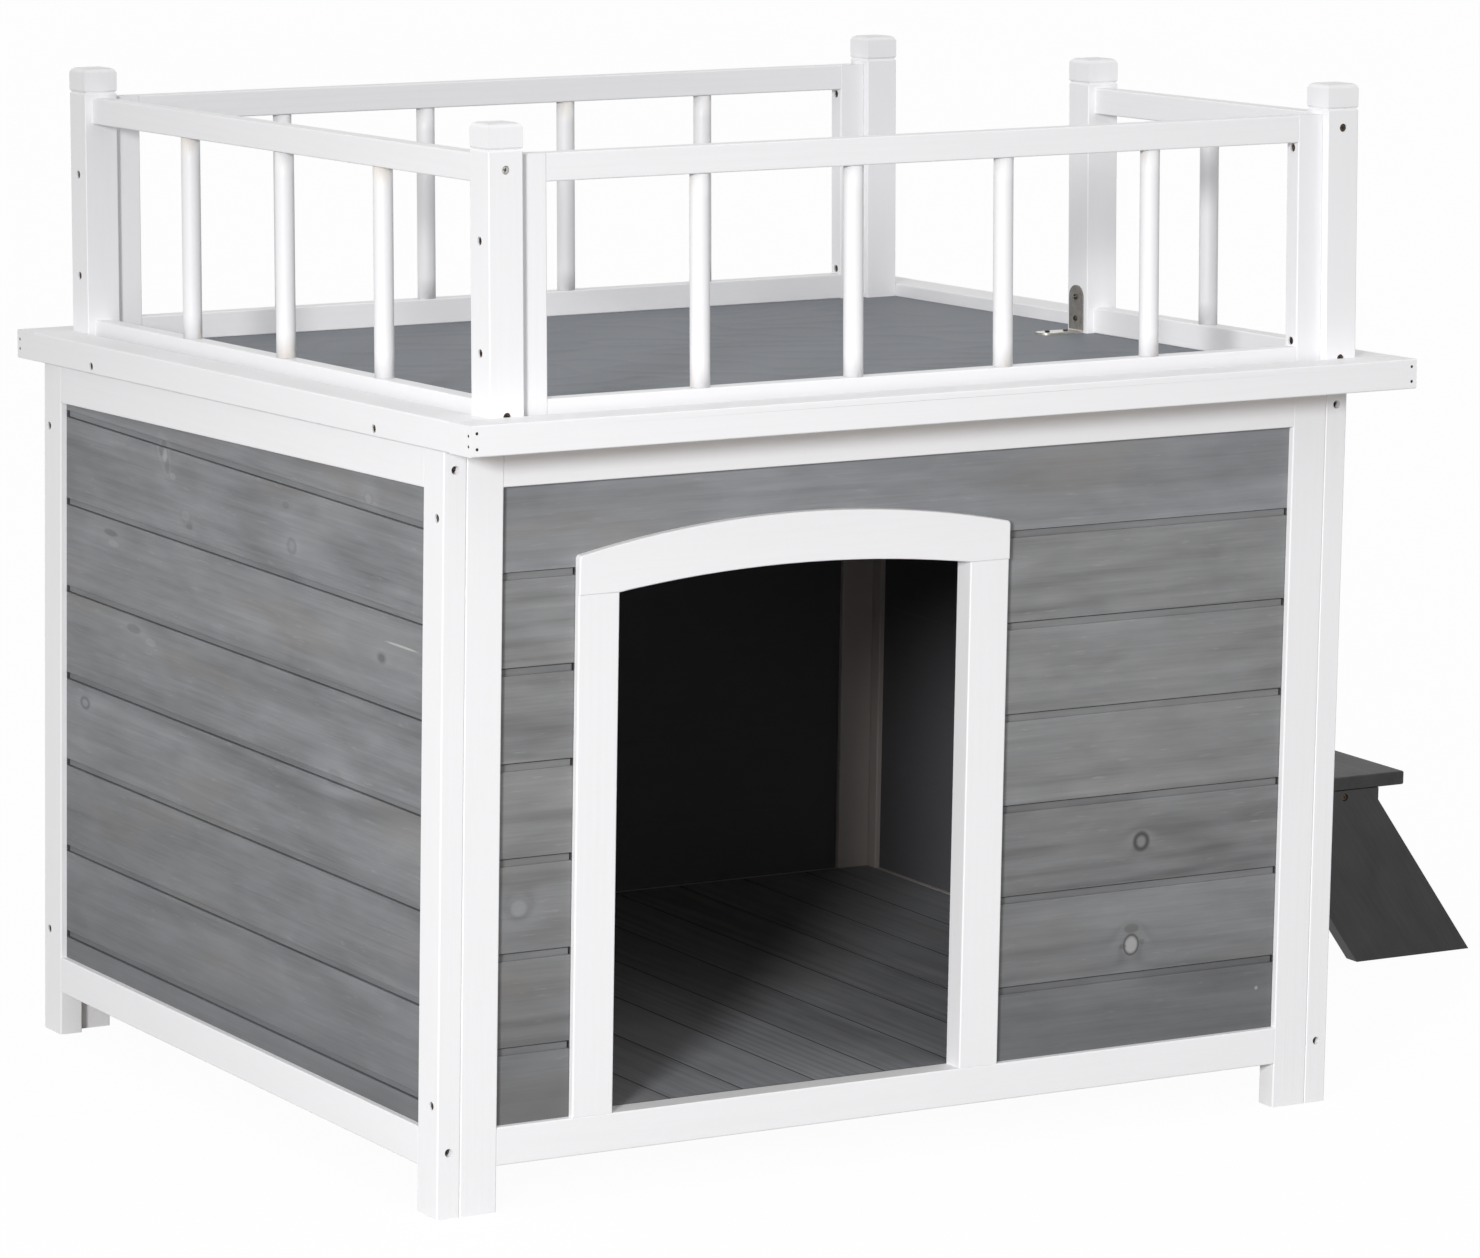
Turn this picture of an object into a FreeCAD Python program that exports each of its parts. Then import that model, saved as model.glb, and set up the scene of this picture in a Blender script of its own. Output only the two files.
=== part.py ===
import FreeCAD, Part
import math
import os

# A raised wooden house for a dog, with a fenced balcony on its sloping flat roof
# and a short stair on its right side. All lengths are in millimetres.
# House coordinates: x from the left wall's outer face, y from the front wall's face, z from the ground.
# Roof coordinates: x as above, s along the slope from the front face, h square to the slope.

# Body
body_width = 1040.0
body_depth = 881.0
front_height = 747.0
roof_slope = 2.0
foot_height = 46.0

# Panel frames
frame_thickness = 25.0
stile_width = 40.0
rail_width = 38.0
top_rail_width = 40.0
eased_edge = 1.5

# Wall boards
board_pitch = 92.8
board_thickness = 12.0
board_recess = 7.0
lip_height = 7.5
lip_depth = 2.0
narrowest_board = 25.0
side_lowest_board = 29.2
front_lowest_board = 75.6

# Doorway
door_clear_width = 398.5
door_from_left = 193.0
jamb_width = 45.0
board_over_arch = 46.0
header_end_height = 38.0
header_middle_height = 50.0
header_rise = 26.0
header_proud = 1.5
header_corner = 4.0

# Cabin floor
floor_plank_width = 82.5
floor_plank_thickness = 12.0
floor_batten_count = 3

# Roof frame and deck
overhang_left = 7.0
overhang_right = 37.0
overhang_front = 67.0
overhang_back = 51.0
roof_board_width = 44.0
roof_board_height = 30.0
deck_thickness = 15.0
cover_thickness = 1.5
joist_count = 2

# Posts
post_width = 37.0
post_height = 290.0
cap_chamfer = 5.0
cap_shoulder = 1.6
groove_below_top = 25.0
groove_width = 4.0
groove_depth = 1.6

# Railings
rail_thickness = 20.0
rail_depth = 27.0
railing_height = 259.5
end_stile_width = 30.0
stair_gap = 404.0
front_dowel_count = 4
left_dowel_count = 3
right_dowel_count = 1
dowel_diameter = 20.0
dowel_tenon = 14.0
dowel_end_gap = 0.3
dowel_seat_depth = 10.0
dowel_clearance = 0.1

# Stair
stair_width = 288.0
stringer_thickness = 20.0
stringer_foot = 155.0
tread_count = 3
tread_thickness = 15.5
lowest_tread_top = 214.0
tread_nosing = 35.0
tread_edge = 2.0
step_run = 130.0
riser_nib = 14.0
cleat_width = 30.0
cleat_setback = 46.0

# Corner bracket
bracket_leg = 50.0
bracket_width = 25.0
bracket_thickness = 2.0
bracket_hole_near = 15.0
bracket_hole_far = 38.0

# Screws and nails
screw_diameter = 4.0
screw_length = 60.0
short_screw_length = 14.0
screw_head_diameter = 8.0
screw_head_height = 2.6
short_head_diameter = 6.4
short_head_height = 1.6
cross_length = 4.6
cross_width = 1.0
cross_depth = 1.3
screw_sink = 1.2
deep_sink = 7.0
screw_clearance = 0.2
nail_diameter = 1.6
nail_length = 50.0
nail_head_diameter = 3.0
nail_head_height = 0.8
nail_clearance = 0.1

# Where the fasteners stand
corner_screw_drop = 66.5
corner_screw_rise = 26.0
post_screw_low = 73.0
post_screw_high = 179.0
stile_screw_gap = 5.5
frame_screw_inset = 128.0
nail_from_corner = 6.0
face_nail_spread = 15.0
end_nail_spread = 10.0

# Limits of the shapes
largest_easing_share = 1.0 / 3.0
least_wood = 0.3
length_match = 0.001

# Values that follow from the sizes above
V = FreeCAD.Vector
AXIS_X = V(1, 0, 0)
AXIS_Y = V(0, 1, 0)
AXIS_Z = V(0, 0, 1)
slope_cos = math.cos(math.radians(roof_slope))
slope_sin = math.sin(math.radians(roof_slope))
slope_tan = slope_sin / slope_cos
rail_top = foot_height + rail_width
inner_width = body_width - 2 * frame_thickness
inner_depth = body_depth - 2 * frame_thickness
deck_top = deck_thickness + cover_thickness
roof_left = -overhang_left
roof_right = body_width + overhang_right
roof_front = -overhang_front
roof_back = body_depth + overhang_back
deck_left = roof_left + roof_board_width
deck_right = roof_right - roof_board_width
deck_front = roof_front + roof_board_width
deck_back = roof_back - roof_board_width
handrail_low = deck_top + railing_height - rail_depth
handrail_high = deck_top + railing_height
foot_rail_top = deck_top + rail_depth
rail_set_back = (post_width - rail_thickness) / 2
gap_post_front = deck_back - 2 * post_width - stair_gap
door_left = door_from_left
door_right = door_from_left + door_clear_width
door_middle = (door_left + door_right) / 2
header_left = door_left - jamb_width
header_right = door_right + jamb_width
header_top = front_height - top_rail_width - board_over_arch
header_foot = header_top - header_rise - header_end_height
gap_middle = (gap_post_front + post_width + deck_back - post_width) / 2
roof_top_at_gap = front_height + roof_board_height * slope_cos - gap_middle * slope_sin
step_rise = (roof_top_at_gap - lowest_tread_top) / tread_count
stair_slope = step_rise / step_run
lowest_seat = lowest_tread_top - tread_thickness
lowest_riser = roof_right + tread_count * step_run
stringer_toe = lowest_riser + (lowest_seat - riser_nib) / stair_slope
stringer_heel = stringer_toe - stringer_foot
stair_middle = gap_middle * slope_cos
stair_front = stair_middle - stair_width / 2
stair_back = stair_middle + stair_width / 2
far_front = roof_front * slope_cos
far_back = roof_back * slope_cos + roof_board_height * slope_sin
origin_x = (roof_left + stringer_toe) / 2
origin_y = (far_front + far_back) / 2

parts = {}
screws = []
nails = []


# Shape helpers
def block(x0, x1, y0, y1, z0, z1):
    """A plain box between two corners."""
    return Part.makeBox(x1 - x0, y1 - y0, z1 - z0, V(x0, y0, z0))


def timber(x0, x1, y0, y1, z0, z1, radius=eased_edge):
    """A bar of sawn timber whose four long edges are eased."""
    bar = block(x0, x1, y0, y1, z0, z1)
    spans = [x1 - x0, y1 - y0, z1 - z0]
    run = max(spans)
    limit = min(radius, min(spans) * largest_easing_share)
    edges = [edge for edge in bar.Edges if abs(edge.Length - run) < run * length_match]
    return bar.makeFillet(limit, edges[:4])


def prism(points, direction):
    """A solid pushed from a closed outline along a vector."""
    outline = Part.makePolygon(points + [points[0]])
    return Part.Face(outline).extrude(direction)


def on_roof(shape):
    """Turn a shape from roof coordinates into house coordinates."""
    shape = shape.copy()
    shape.rotate(V(0, 0, 0), AXIS_X, -roof_slope)
    shape.translate(V(0, 0, front_height))
    return shape


def on_roof_point(x, s, h):
    """A point in roof coordinates, given in house coordinates."""
    return V(x, s * slope_cos + h * slope_sin, front_height - s * slope_sin + h * slope_cos)


def roof_underside(y):
    """Height of the roof's underside at a distance from the front face."""
    return front_height - y * slope_tan


def under_roof(shape, drop=0.0):
    """Cut a shape off along the roof's underside, or along a plane a drop below it."""
    space = block(roof_left, stringer_toe, roof_front, roof_back, -drop, front_height)
    return shape.cut(on_roof(space))


def square_wire(half, z):
    """A square outline around the z axis."""
    corners = [V(-half, -half, z), V(half, -half, z), V(half, half, z), V(-half, half, z)]
    return Part.makePolygon(corners + [corners[0]])


def mirrored_x(shape):
    """The same shape on the other side of the body's middle."""
    return shape.mirror(V(body_width / 2, 0, 0), AXIS_X)


def mirrored_y(shape):
    """The same shape on the other end of the body's depth."""
    return shape.mirror(V(0, body_depth / 2, 0), AXIS_Y)


# Wall panels
def board_lines(lowest, ceiling):
    """Heights of a wall's board joints, from the bottom rail up to a ceiling."""
    lines = [rail_top]
    level = rail_top + lowest
    while level < ceiling - narrowest_board:
        lines.append(level)
        level += board_pitch
    lines.append(ceiling)
    return lines


def board_section(low, high, has_lip):
    """Outline of one board, as depth from its face and height, with the set-back lip at its top."""
    if not has_lip:
        return [(0.0, low), (0.0, high), (board_thickness, high), (board_thickness, low)]
    step = high - lip_height
    face = [(0.0, low), (0.0, step), (lip_depth, step), (lip_depth, high)]
    return face + [(board_thickness, high), (board_thickness, low)]


def cross_boards(ceiling):
    """Full rows of boards between the stiles of the front wall, up to the top rail."""
    left = frame_thickness + stile_width
    right = body_width - left
    lines = board_lines(front_lowest_board, ceiling)
    rows = []
    for index in range(len(lines) - 1):
        outline = board_section(lines[index], lines[index + 1], index < len(lines) - 2)
        points = [V(left, board_recess + depth, z) for depth, z in outline]
        rows.append(prism(points, V(right - left, 0, 0)))
    return rows


def side_boards():
    """Boards of the left wall: level rows, of which the highest ends along the sloping rail."""
    front = stile_width
    back = body_depth - stile_width
    ceiling = roof_underside(front)
    lines = board_lines(side_lowest_board, ceiling)
    rows = []
    for index in range(len(lines) - 1):
        outline = board_section(lines[index], lines[index + 1], index < len(lines) - 2)
        points = [V(board_recess + depth, front, z) for depth, z in outline]
        board = under_roof(prism(points, V(0, back - front, 0)), top_rail_width)
        if board.Solids:
            rows.append(board)
    return rows


def side_wall(prefix, place):
    """Frame and boards of one side wall, built on the left and put in place."""
    t = frame_thickness
    tall = front_height + roof_board_height
    front = under_roof(timber(0, t, 0, stile_width, 0, tall))
    back = under_roof(timber(0, t, body_depth - stile_width, body_depth, 0, tall))
    low = timber(0, t, stile_width, body_depth - stile_width, foot_height, rail_top)
    reach = body_depth / slope_cos
    high = on_roof(timber(0, t, -stile_width, reach, -top_rail_width, 0))
    high = high.common(block(0, t, stile_width, body_depth - stile_width, 0, tall))
    parts[prefix + "_wall_front_stile"] = place(front)
    parts[prefix + "_wall_back_stile"] = place(back)
    parts[prefix + "_wall_bottom_rail"] = place(low)
    parts[prefix + "_wall_top_rail"] = place(high)
    parts[prefix + "_wall_boards"] = place(Part.makeCompound(side_boards()))


def cross_frame(prefix, place, roof_height):
    """Stiles and rails of the front or back wall, which stand between the side walls."""
    t = frame_thickness
    left = t
    right = body_width - t
    tall = front_height + roof_board_height
    lower_edge = roof_height - top_rail_width
    stile = timber(left, left + stile_width, 0, t, 0, tall)
    other = timber(right - stile_width, right, 0, t, 0, tall)
    low = timber(left + stile_width, right - stile_width, 0, t, foot_height, rail_top)
    high = timber(left + stile_width, right - stile_width, 0, t, lower_edge, roof_height + top_rail_width)
    parts[prefix + "_wall_left_stile"] = under_roof(place(stile))
    parts[prefix + "_wall_right_stile"] = under_roof(place(other))
    parts[prefix + "_wall_bottom_rail"] = place(low)
    parts[prefix + "_wall_top_rail"] = under_roof(place(high))


def front_wall():
    """Front wall with its boards cut around the doorway."""
    cross_frame("front", lambda shape: shape, front_height)
    opening = block(header_left, header_right, 0, frame_thickness, rail_top, header_foot)
    opening = opening.fuse(header_outline(0.0, frame_thickness, False))
    groups = {"left_boards": [], "right_boards": [], "top_board": []}
    for row in cross_boards(front_height - top_rail_width):
        for board in row.cut(opening).Solids:
            groups[board_group(board)].append(board)
    for group, boards in groups.items():
        parts["front_wall_" + group] = Part.makeCompound(boards)


def board_group(board):
    """Which side of the doorway a board lies on, or over it."""
    if board.BoundBox.XMax < header_left + least_wood:
        return "left_boards"
    if board.BoundBox.XMin > header_right - least_wood:
        return "right_boards"
    return "top_board"


def back_wall():
    """Back wall, closed, and lower than the front one because the roof slopes."""
    height = roof_underside(body_depth)
    cross_frame("back", mirrored_y, height)
    parts["back_wall_boards"] = mirrored_y(Part.makeCompound(cross_boards(height - top_rail_width)))


# Doorway
def arc_height(half_span, rise, offset):
    """Drop of a circular arc below its crown at an offset from the middle."""
    radius = (half_span ** 2 + rise ** 2) / (2 * rise)
    return radius - math.sqrt(radius ** 2 - offset ** 2)


def header_outline(front, back, hollow):
    """The arched header between two y planes, hollow under its inner arc or filled down to its feet."""
    half = (header_right - header_left) / 2
    inner_half = door_clear_width / 2
    crown = header_top
    inner_crown = header_top - header_middle_height
    inner_rise = inner_crown - header_foot
    top_mid = V(door_middle, front, crown)
    low_mid = V(door_middle, front, inner_crown)
    left_top = V(header_left, front, crown - arc_height(half, header_rise, half))
    right_top = V(header_right, front, left_top.z)
    left_foot = V(header_left, front, header_foot)
    right_foot = V(header_right, front, header_foot)
    left_in = V(door_left, front, inner_crown - arc_height(inner_half, inner_rise, inner_half))
    right_in = V(door_right, front, left_in.z)
    edges = [Part.Arc(left_top, top_mid, right_top).toShape(), Part.makeLine(right_top, right_foot)]
    if hollow:
        edges.append(Part.makeLine(right_foot, right_in))
        edges.append(Part.Arc(right_in, low_mid, left_in).toShape())
        edges.append(Part.makeLine(left_in, left_foot))
    else:
        edges.append(Part.makeLine(right_foot, left_foot))
    edges.append(Part.makeLine(left_foot, left_top))
    solid = Part.Face(Part.Wire(edges)).extrude(V(0, back - front, 0))
    return solid.makeFillet(header_corner, [edge for edge in solid.Edges if at_header_corner(edge)])


def at_header_corner(edge):
    """Whether an edge of the header runs through the wall at one of its two upper corners."""
    middle = edge.BoundBox.Center
    from_end = min(abs(middle.x - header_left), abs(middle.x - header_right))
    return from_end < least_wood and middle.z > header_foot + least_wood and edge.BoundBox.ZLength < least_wood


def doorway():
    """Two jambs on the bottom rail and the arched header on top of them."""
    depth = frame_thickness
    parts["door_left_jamb"] = timber(header_left, door_left, 0, depth, rail_top, header_foot)
    parts["door_right_jamb"] = timber(door_right, header_right, 0, depth, rail_top, header_foot)
    header = header_outline(-header_proud, depth, True)
    front_edges = [edge for edge in header.Edges if edge.BoundBox.YMax < -header_proud / 2]
    radius = min(eased_edge, header_proud)
    parts["door_header"] = header.makeFillet(radius, front_edges)


# Cabin floor
def cabin_floor():
    """Planks from front to back, nailed on battens between the side walls."""
    count = max(1, round(inner_width / floor_plank_width))
    width = inner_width / count
    under = rail_top - floor_plank_thickness
    planks = []
    for index in range(count):
        left = frame_thickness + index * width
        planks.append(timber(left, left + width, frame_thickness, body_depth - frame_thickness, under, rail_top))
    parts["floor_boards"] = Part.makeCompound(planks)
    span = inner_depth - stile_width
    battens = []
    for index in range(floor_batten_count):
        front = frame_thickness + span * index / (floor_batten_count - 1)
        right = body_width - frame_thickness
        battens.append(block(frame_thickness, right, front, front + stile_width, under - frame_thickness, under))
    parts["floor_battens"] = Part.makeCompound(battens)


# Roof
def roof_frame():
    """Four boards around the deck: front and back run through, the side boards stand between them."""
    top = roof_board_height
    front = timber(roof_left, roof_right, roof_front, deck_front, 0, top)
    back = timber(roof_left, roof_right, deck_back, roof_back, 0, top)
    left = timber(roof_left, deck_left, deck_front, deck_back, 0, top)
    right = timber(deck_right, roof_right, deck_front, deck_back, 0, top)
    parts["roof_front_board"] = on_roof(front)
    parts["roof_back_board"] = on_roof(back)
    parts["roof_left_board"] = on_roof(left)
    parts["roof_right_board"] = on_roof(right)


def deck():
    """Deck panel with its weatherproof cover, on two joists between the side walls."""
    panel = block(deck_left, deck_right, deck_front, deck_back, 0, deck_thickness)
    cover = block(deck_left, deck_right, deck_front, deck_back, deck_thickness, deck_top)
    parts["deck_board"] = on_roof(panel)
    parts["deck_cover"] = on_roof(cover)
    joists = []
    for index in range(joist_count):
        middle = body_depth * (index + 1) / (joist_count + 1)
        front = middle - frame_thickness / 2
        right = body_width - frame_thickness
        joists.append(block(frame_thickness, right, front, front + frame_thickness, -rail_width, 0))
    parts["deck_joists"] = on_roof(Part.makeCompound(joists))


# Posts and railings
def post(name, x, s):
    """A square post with a grooved and chamfered head, given by its left and front faces."""
    half = post_width / 2
    groove = post_height - groove_below_top
    levels = [
        (half, 0.0),
        (half, groove - groove_width / 2),
        (half - groove_depth, groove),
        (half, groove + groove_width / 2),
        (half, post_height - cap_chamfer),
        (half - cap_shoulder, post_height - cap_shoulder),
        (half - cap_chamfer, post_height),
    ]
    wires = [square_wire(size, z) for size, z in levels]
    shape = Part.makeLoft(wires, True, True)
    edges = [edge for edge in shape.Edges if edge.Length > post_height / 2]
    shape = shape.makeFillet(min(eased_edge, groove_depth - least_wood), edges)
    shape.translate(V(x + half, s + half, deck_top))
    parts[name] = on_roof(shape)


def posts():
    """Four corner posts on the deck and one beside the gap for the stair."""
    right = deck_right - post_width
    back = deck_back - post_width
    post("front_left_post", deck_left, deck_front)
    post("front_right_post", right, deck_front)
    post("back_left_post", deck_left, back)
    post("back_right_post", right, back)
    post("gap_post", right, gap_post_front)


def dowel_places(start, end, count):
    """Even places for a number of dowels between two supports."""
    step = (end - start) / (count + 1)
    return [start + step * (index + 1) for index in range(count)]


def dowel_at(x, s, radius, low, high):
    """An upright cylinder on the roof."""
    return Part.makeCylinder(radius, high - low, V(x, s, low), AXIS_Z)


def dowelled(bar, places, low, high):
    """A rail with the blind holes that its dowels sit in."""
    for x, s in places:
        bar = bar.cut(dowel_at(x, s, dowel_tenon / 2 + dowel_clearance, low, high))
    return bar


def dowel(x, s):
    """A dowel that stands between the rails, with a thinner tenon at each end in its seat."""
    reach = dowel_seat_depth - dowel_end_gap
    body = dowel_at(x, s, dowel_diameter / 2, foot_rail_top, handrail_low)
    tenons = dowel_at(x, s, dowel_tenon / 2, foot_rail_top - reach, handrail_low + reach)
    return body.fuse(tenons).removeSplitter().Solids[0]


def railing(prefix, x0, x1, s0, s1, places):
    """A top rail, a bottom rail and the dowels between them."""
    seat = dowel_seat_depth
    low = timber(x0, x1, s0, s1, deck_top, foot_rail_top)
    high = timber(x0, x1, s0, s1, handrail_low, handrail_high)
    low = dowelled(low, places, foot_rail_top - seat, foot_rail_top + seat)
    high = dowelled(high, places, handrail_low - seat, handrail_low + seat)
    parts[prefix + "_bottom_rail"] = on_roof(low)
    parts[prefix + "_top_rail"] = on_roof(high)
    bars = [dowel(x, s) for x, s in places]
    parts[prefix + "_dowels"] = on_roof(Part.makeCompound(bars))


def cross_railing(prefix, s0):
    """The front or back railing, which runs between two end stiles."""
    s1 = s0 + rail_thickness
    left = deck_left + post_width
    right = deck_right - post_width
    left_in = left + end_stile_width
    right_in = right - end_stile_width
    stiles = [
        timber(left, left_in, s0, s1, deck_top, handrail_high),
        timber(right_in, right, s0, s1, deck_top, handrail_high),
    ]
    parts[prefix + "_end_stiles"] = on_roof(Part.makeCompound(stiles))
    middle = (s0 + s1) / 2
    places = [(x, middle) for x in dowel_places(left_in, right_in, front_dowel_count)]
    railing(prefix, left_in, right_in, s0, s1, places)


def side_railing(prefix, x0, back, count):
    """A side railing from the front post to a post behind it."""
    front = deck_front + post_width
    x1 = x0 + rail_thickness
    places = [((x0 + x1) / 2, s) for s in dowel_places(front, back, count)]
    railing(prefix, x0, x1, front, back, places)


def railings():
    """Railings on four sides, with a gap in the right one for the stair."""
    cross_railing("front_railing", deck_front + rail_set_back)
    cross_railing("back_railing", deck_back - rail_set_back - rail_thickness)
    side_railing("left_railing", deck_left + rail_set_back, deck_back - post_width, left_dowel_count)
    right = deck_right - rail_set_back - rail_thickness
    side_railing("right_railing", right, gap_post_front, right_dowel_count)


# Stair
def seat_height(index):
    """Height of the seat under a tread, counted from the lowest."""
    return lowest_seat + index * step_rise


def riser_face(index):
    """The x of the riser at the front of a tread's seat, counted from the lowest."""
    return lowest_riser - index * step_run


def stringer(y0):
    """A notched stair side that leans on the right wall under the roof's edge."""
    points = [V(stringer_toe, y0, 0), V(stringer_heel, y0, 0)]
    points.append(V(body_width, y0, (stringer_heel - body_width) * stair_slope))
    points.append(V(body_width, y0, front_height))
    points.append(V(roof_right, y0, front_height))
    for index in reversed(range(tread_count)):
        points.append(V(riser_face(index + 1), y0, seat_height(index)))
        points.append(V(riser_face(index), y0, seat_height(index)))
    points.append(V(lowest_riser, y0, lowest_seat - riser_nib))
    return under_roof(prism(points, V(0, stringer_thickness, 0)))


def stair():
    """Two stringers, the treads on their seats and a cleat under each tread."""
    parts["stair_front_stringer"] = stringer(stair_front)
    parts["stair_back_stringer"] = stringer(stair_back - stringer_thickness)
    treads = []
    cleats = []
    for index in range(tread_count):
        seat = seat_height(index)
        back = riser_face(index + 1)
        nose = riser_face(index) + tread_nosing
        treads.append(timber(back, nose, stair_front, stair_back, seat, seat + tread_thickness, tread_edge))
        left = riser_face(index) - cleat_setback - cleat_width / 2
        front = stair_front + stringer_thickness
        rear = stair_back - stringer_thickness
        cleats.append(block(left, left + cleat_width, front, rear, seat - tread_thickness, seat))
    parts["stair_treads"] = Part.makeCompound(treads)
    parts["stair_cleats"] = Part.makeCompound(cleats)


# Fasteners
def along_z(shape, place, direction):
    """Turn a fastener made along +z, head at the origin, so that it points a given way."""
    shape = shape.copy()
    shape.Placement = FreeCAD.Placement(place, FreeCAD.Rotation(AXIS_Z, direction))
    return shape


def screw_body(length, head_diameter, head_height):
    """A screw with a crossed flat head, whose point is along +z."""
    head = Part.makeCylinder(head_diameter / 2, head_height)
    shank = Part.makeCylinder(screw_diameter / 2, length - head_height, V(0, 0, head_height))
    half = cross_length / 2
    thin = cross_width / 2
    cross = block(-half, half, -thin, thin, 0, cross_depth)
    other = block(-thin, thin, -half, half, 0, cross_depth)
    return head.fuse(shank).removeSplitter().cut(cross).cut(other)


def stepped_bore(diameter, length, head_diameter, head_height, sink, gap):
    """The hole for a fastener, from the surface to just past its point."""
    wide = Part.makeCylinder(head_diameter / 2 + gap, head_height + sink, V(0, 0, -sink))
    shank = Part.makeCylinder(diameter / 2 + gap, length - head_height + gap, V(0, 0, head_height))
    return wide.fuse(shank)


def bore_pieces(names, bore):
    """Cut a fastener's hole into the pieces that it holds together."""
    for name in names:
        parts[name] = parts[name].cut(bore)


def screw(place, direction, names, sink=screw_sink):
    """A long screw whose head lies below the surface at a place."""
    head = place + direction * sink
    screws.append(along_z(screw_body(screw_length, screw_head_diameter, screw_head_height), head, direction))
    hole = stepped_bore(screw_diameter, screw_length, screw_head_diameter, screw_head_height, sink, screw_clearance)
    bore_pieces(names, along_z(hole, head, direction))


def short_screw(place, direction, names):
    """A short screw whose head rests on a plate, and whose shank goes on into the wood."""
    head = place - direction * short_head_height
    screws.append(along_z(screw_body(short_screw_length, short_head_diameter, short_head_height), head, direction))
    length = short_screw_length - short_head_height + screw_clearance
    hole = Part.makeCylinder(screw_diameter / 2 + screw_clearance, length)
    bore_pieces(names, along_z(hole, place, direction))


def nail(place, direction, names):
    """A thin nail whose head is flush with the surface."""
    head = Part.makeCylinder(nail_head_diameter / 2, nail_head_height)
    shank = Part.makeCylinder(nail_diameter / 2, nail_length - nail_head_height, V(0, 0, nail_head_height))
    nails.append(along_z(head.fuse(shank).removeSplitter(), place, direction))
    hole = stepped_bore(nail_diameter, nail_length, nail_head_diameter, nail_head_height, 0.0, nail_clearance)
    bore_pieces(names, along_z(hole, place, direction))


def wall_screws():
    """Screws that join each side wall to the front and back walls, and its own rails to its stiles."""
    half = frame_thickness / 2
    low = rail_top + corner_screw_rise
    sides = [("left", 0.0, half, AXIS_X), ("right", body_width, body_width - half, -AXIS_X)]
    ends = [("front", 0.0, half, AXIS_Y), ("back", body_depth, body_depth - half, -AXIS_Y)]
    for side, face_x, middle_x, inward_x in sides:
        for end, face_y, middle_y, inward_y in ends:
            stile = side + "_wall_" + end + "_stile"
            cross = end + "_wall_" + side + "_stile"
            high = roof_underside(middle_y) - corner_screw_drop
            screw(V(face_x, middle_y, low), inward_x, [stile, cross])
            screw(V(face_x, middle_y, high), inward_x, [stile, cross])
            foot = foot_height + rail_width / 2
            head = roof_underside(face_y) - top_rail_width / 2
            screw(V(middle_x, face_y, foot), inward_y, [stile, side + "_wall_bottom_rail"], deep_sink)
            screw(V(middle_x, face_y, head), inward_y, [stile, side + "_wall_top_rail"], deep_sink)


def roof_direction(direction):
    """A direction in roof coordinates, given in house coordinates."""
    return V(direction.x, direction.y * slope_cos + direction.z * slope_sin,
             -direction.y * slope_sin + direction.z * slope_cos)


def roof_screw(x, s, h, direction, names):
    """A long screw placed in roof coordinates."""
    screw(on_roof_point(x, s, h), roof_direction(direction), names)


def post_screws():
    """Screws through the posts into the end stiles and rails, and back from the end stiles."""
    half = post_width / 2
    sides = [("left", deck_left, 1), ("right", deck_right, -1)]
    ends = [("front", deck_front), ("back", deck_back - post_width)]
    below = handrail_low - stile_screw_gap
    above = foot_rail_top + stile_screw_gap
    for side, face_x, way in sides:
        inner = face_x + way * (post_width + end_stile_width)
        for end, face_s in ends:
            held = [end + "_" + side + "_post", end + "_railing_end_stiles"]
            for height in (deck_top + post_screw_low, deck_top + post_screw_high):
                roof_screw(face_x, face_s + half, height, AXIS_X * way, held)
            for height in (below, above):
                roof_screw(inner, face_s + half, height, AXIS_X * -way, held)


def rail_screws():
    """Screws through the posts into the ends of the side rails."""
    half = post_width / 2
    left = deck_left + half
    right = deck_right - half
    back = gap_post_front + post_width
    for level, height in (("top", handrail_high - rail_depth / 2), ("bottom", foot_rail_top - rail_depth / 2)):
        roof_screw(left, deck_front, height, AXIS_Y, ["front_left_post", "left_railing_" + level + "_rail"])
        roof_screw(right, deck_front, height, AXIS_Y, ["front_right_post", "right_railing_" + level + "_rail"])
        roof_screw(left, deck_back, height, -AXIS_Y, ["back_left_post", "left_railing_" + level + "_rail"])
        roof_screw(right, back, height, -AXIS_Y, ["gap_post", "right_railing_" + level + "_rail"])


def frame_screws():
    """Screws through the side boards of the roof frame into the deck's edges."""
    height = deck_thickness / 2
    for s in (frame_screw_inset, body_depth - frame_screw_inset):
        roof_screw(roof_left, s, height, AXIS_X, ["roof_left_board", "deck_board"])
        roof_screw(roof_right, s, height, -AXIS_X, ["roof_right_board", "deck_board"])


def stair_screws():
    """Screws through the stringers into the ends of the cleats."""
    for index in range(tread_count):
        x = riser_face(index) - cleat_setback
        z = seat_height(index) - tread_thickness / 2
        screw(V(x, stair_front, z), AXIS_Y, ["stair_front_stringer", "stair_cleats"])
        screw(V(x, stair_back, z), -AXIS_Y, ["stair_back_stringer", "stair_cleats"])


def roof_nails():
    """Nails at the four corners of the roof frame, two through each face."""
    middle = roof_board_height / 2
    for side, face_x, way in (("left", roof_left, 1), ("right", roof_right, -1)):
        for end, face_s, turn in (("front", roof_front, 1), ("back", roof_back, -1)):
            through = "roof_" + end + "_board"
            x = face_x + way * nail_from_corner
            s = face_s + turn * nail_from_corner
            for sign in (-1, 1):
                face_height = middle + sign * face_nail_spread / 2
                end_height = middle + sign * end_nail_spread / 2
                ahead = roof_direction(AXIS_Y * turn)
                nail(on_roof_point(x, face_s, face_height), ahead, [through, "roof_" + side + "_board"])
                nail(on_roof_point(face_x, s, end_height), AXIS_X * way, [through])


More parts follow.
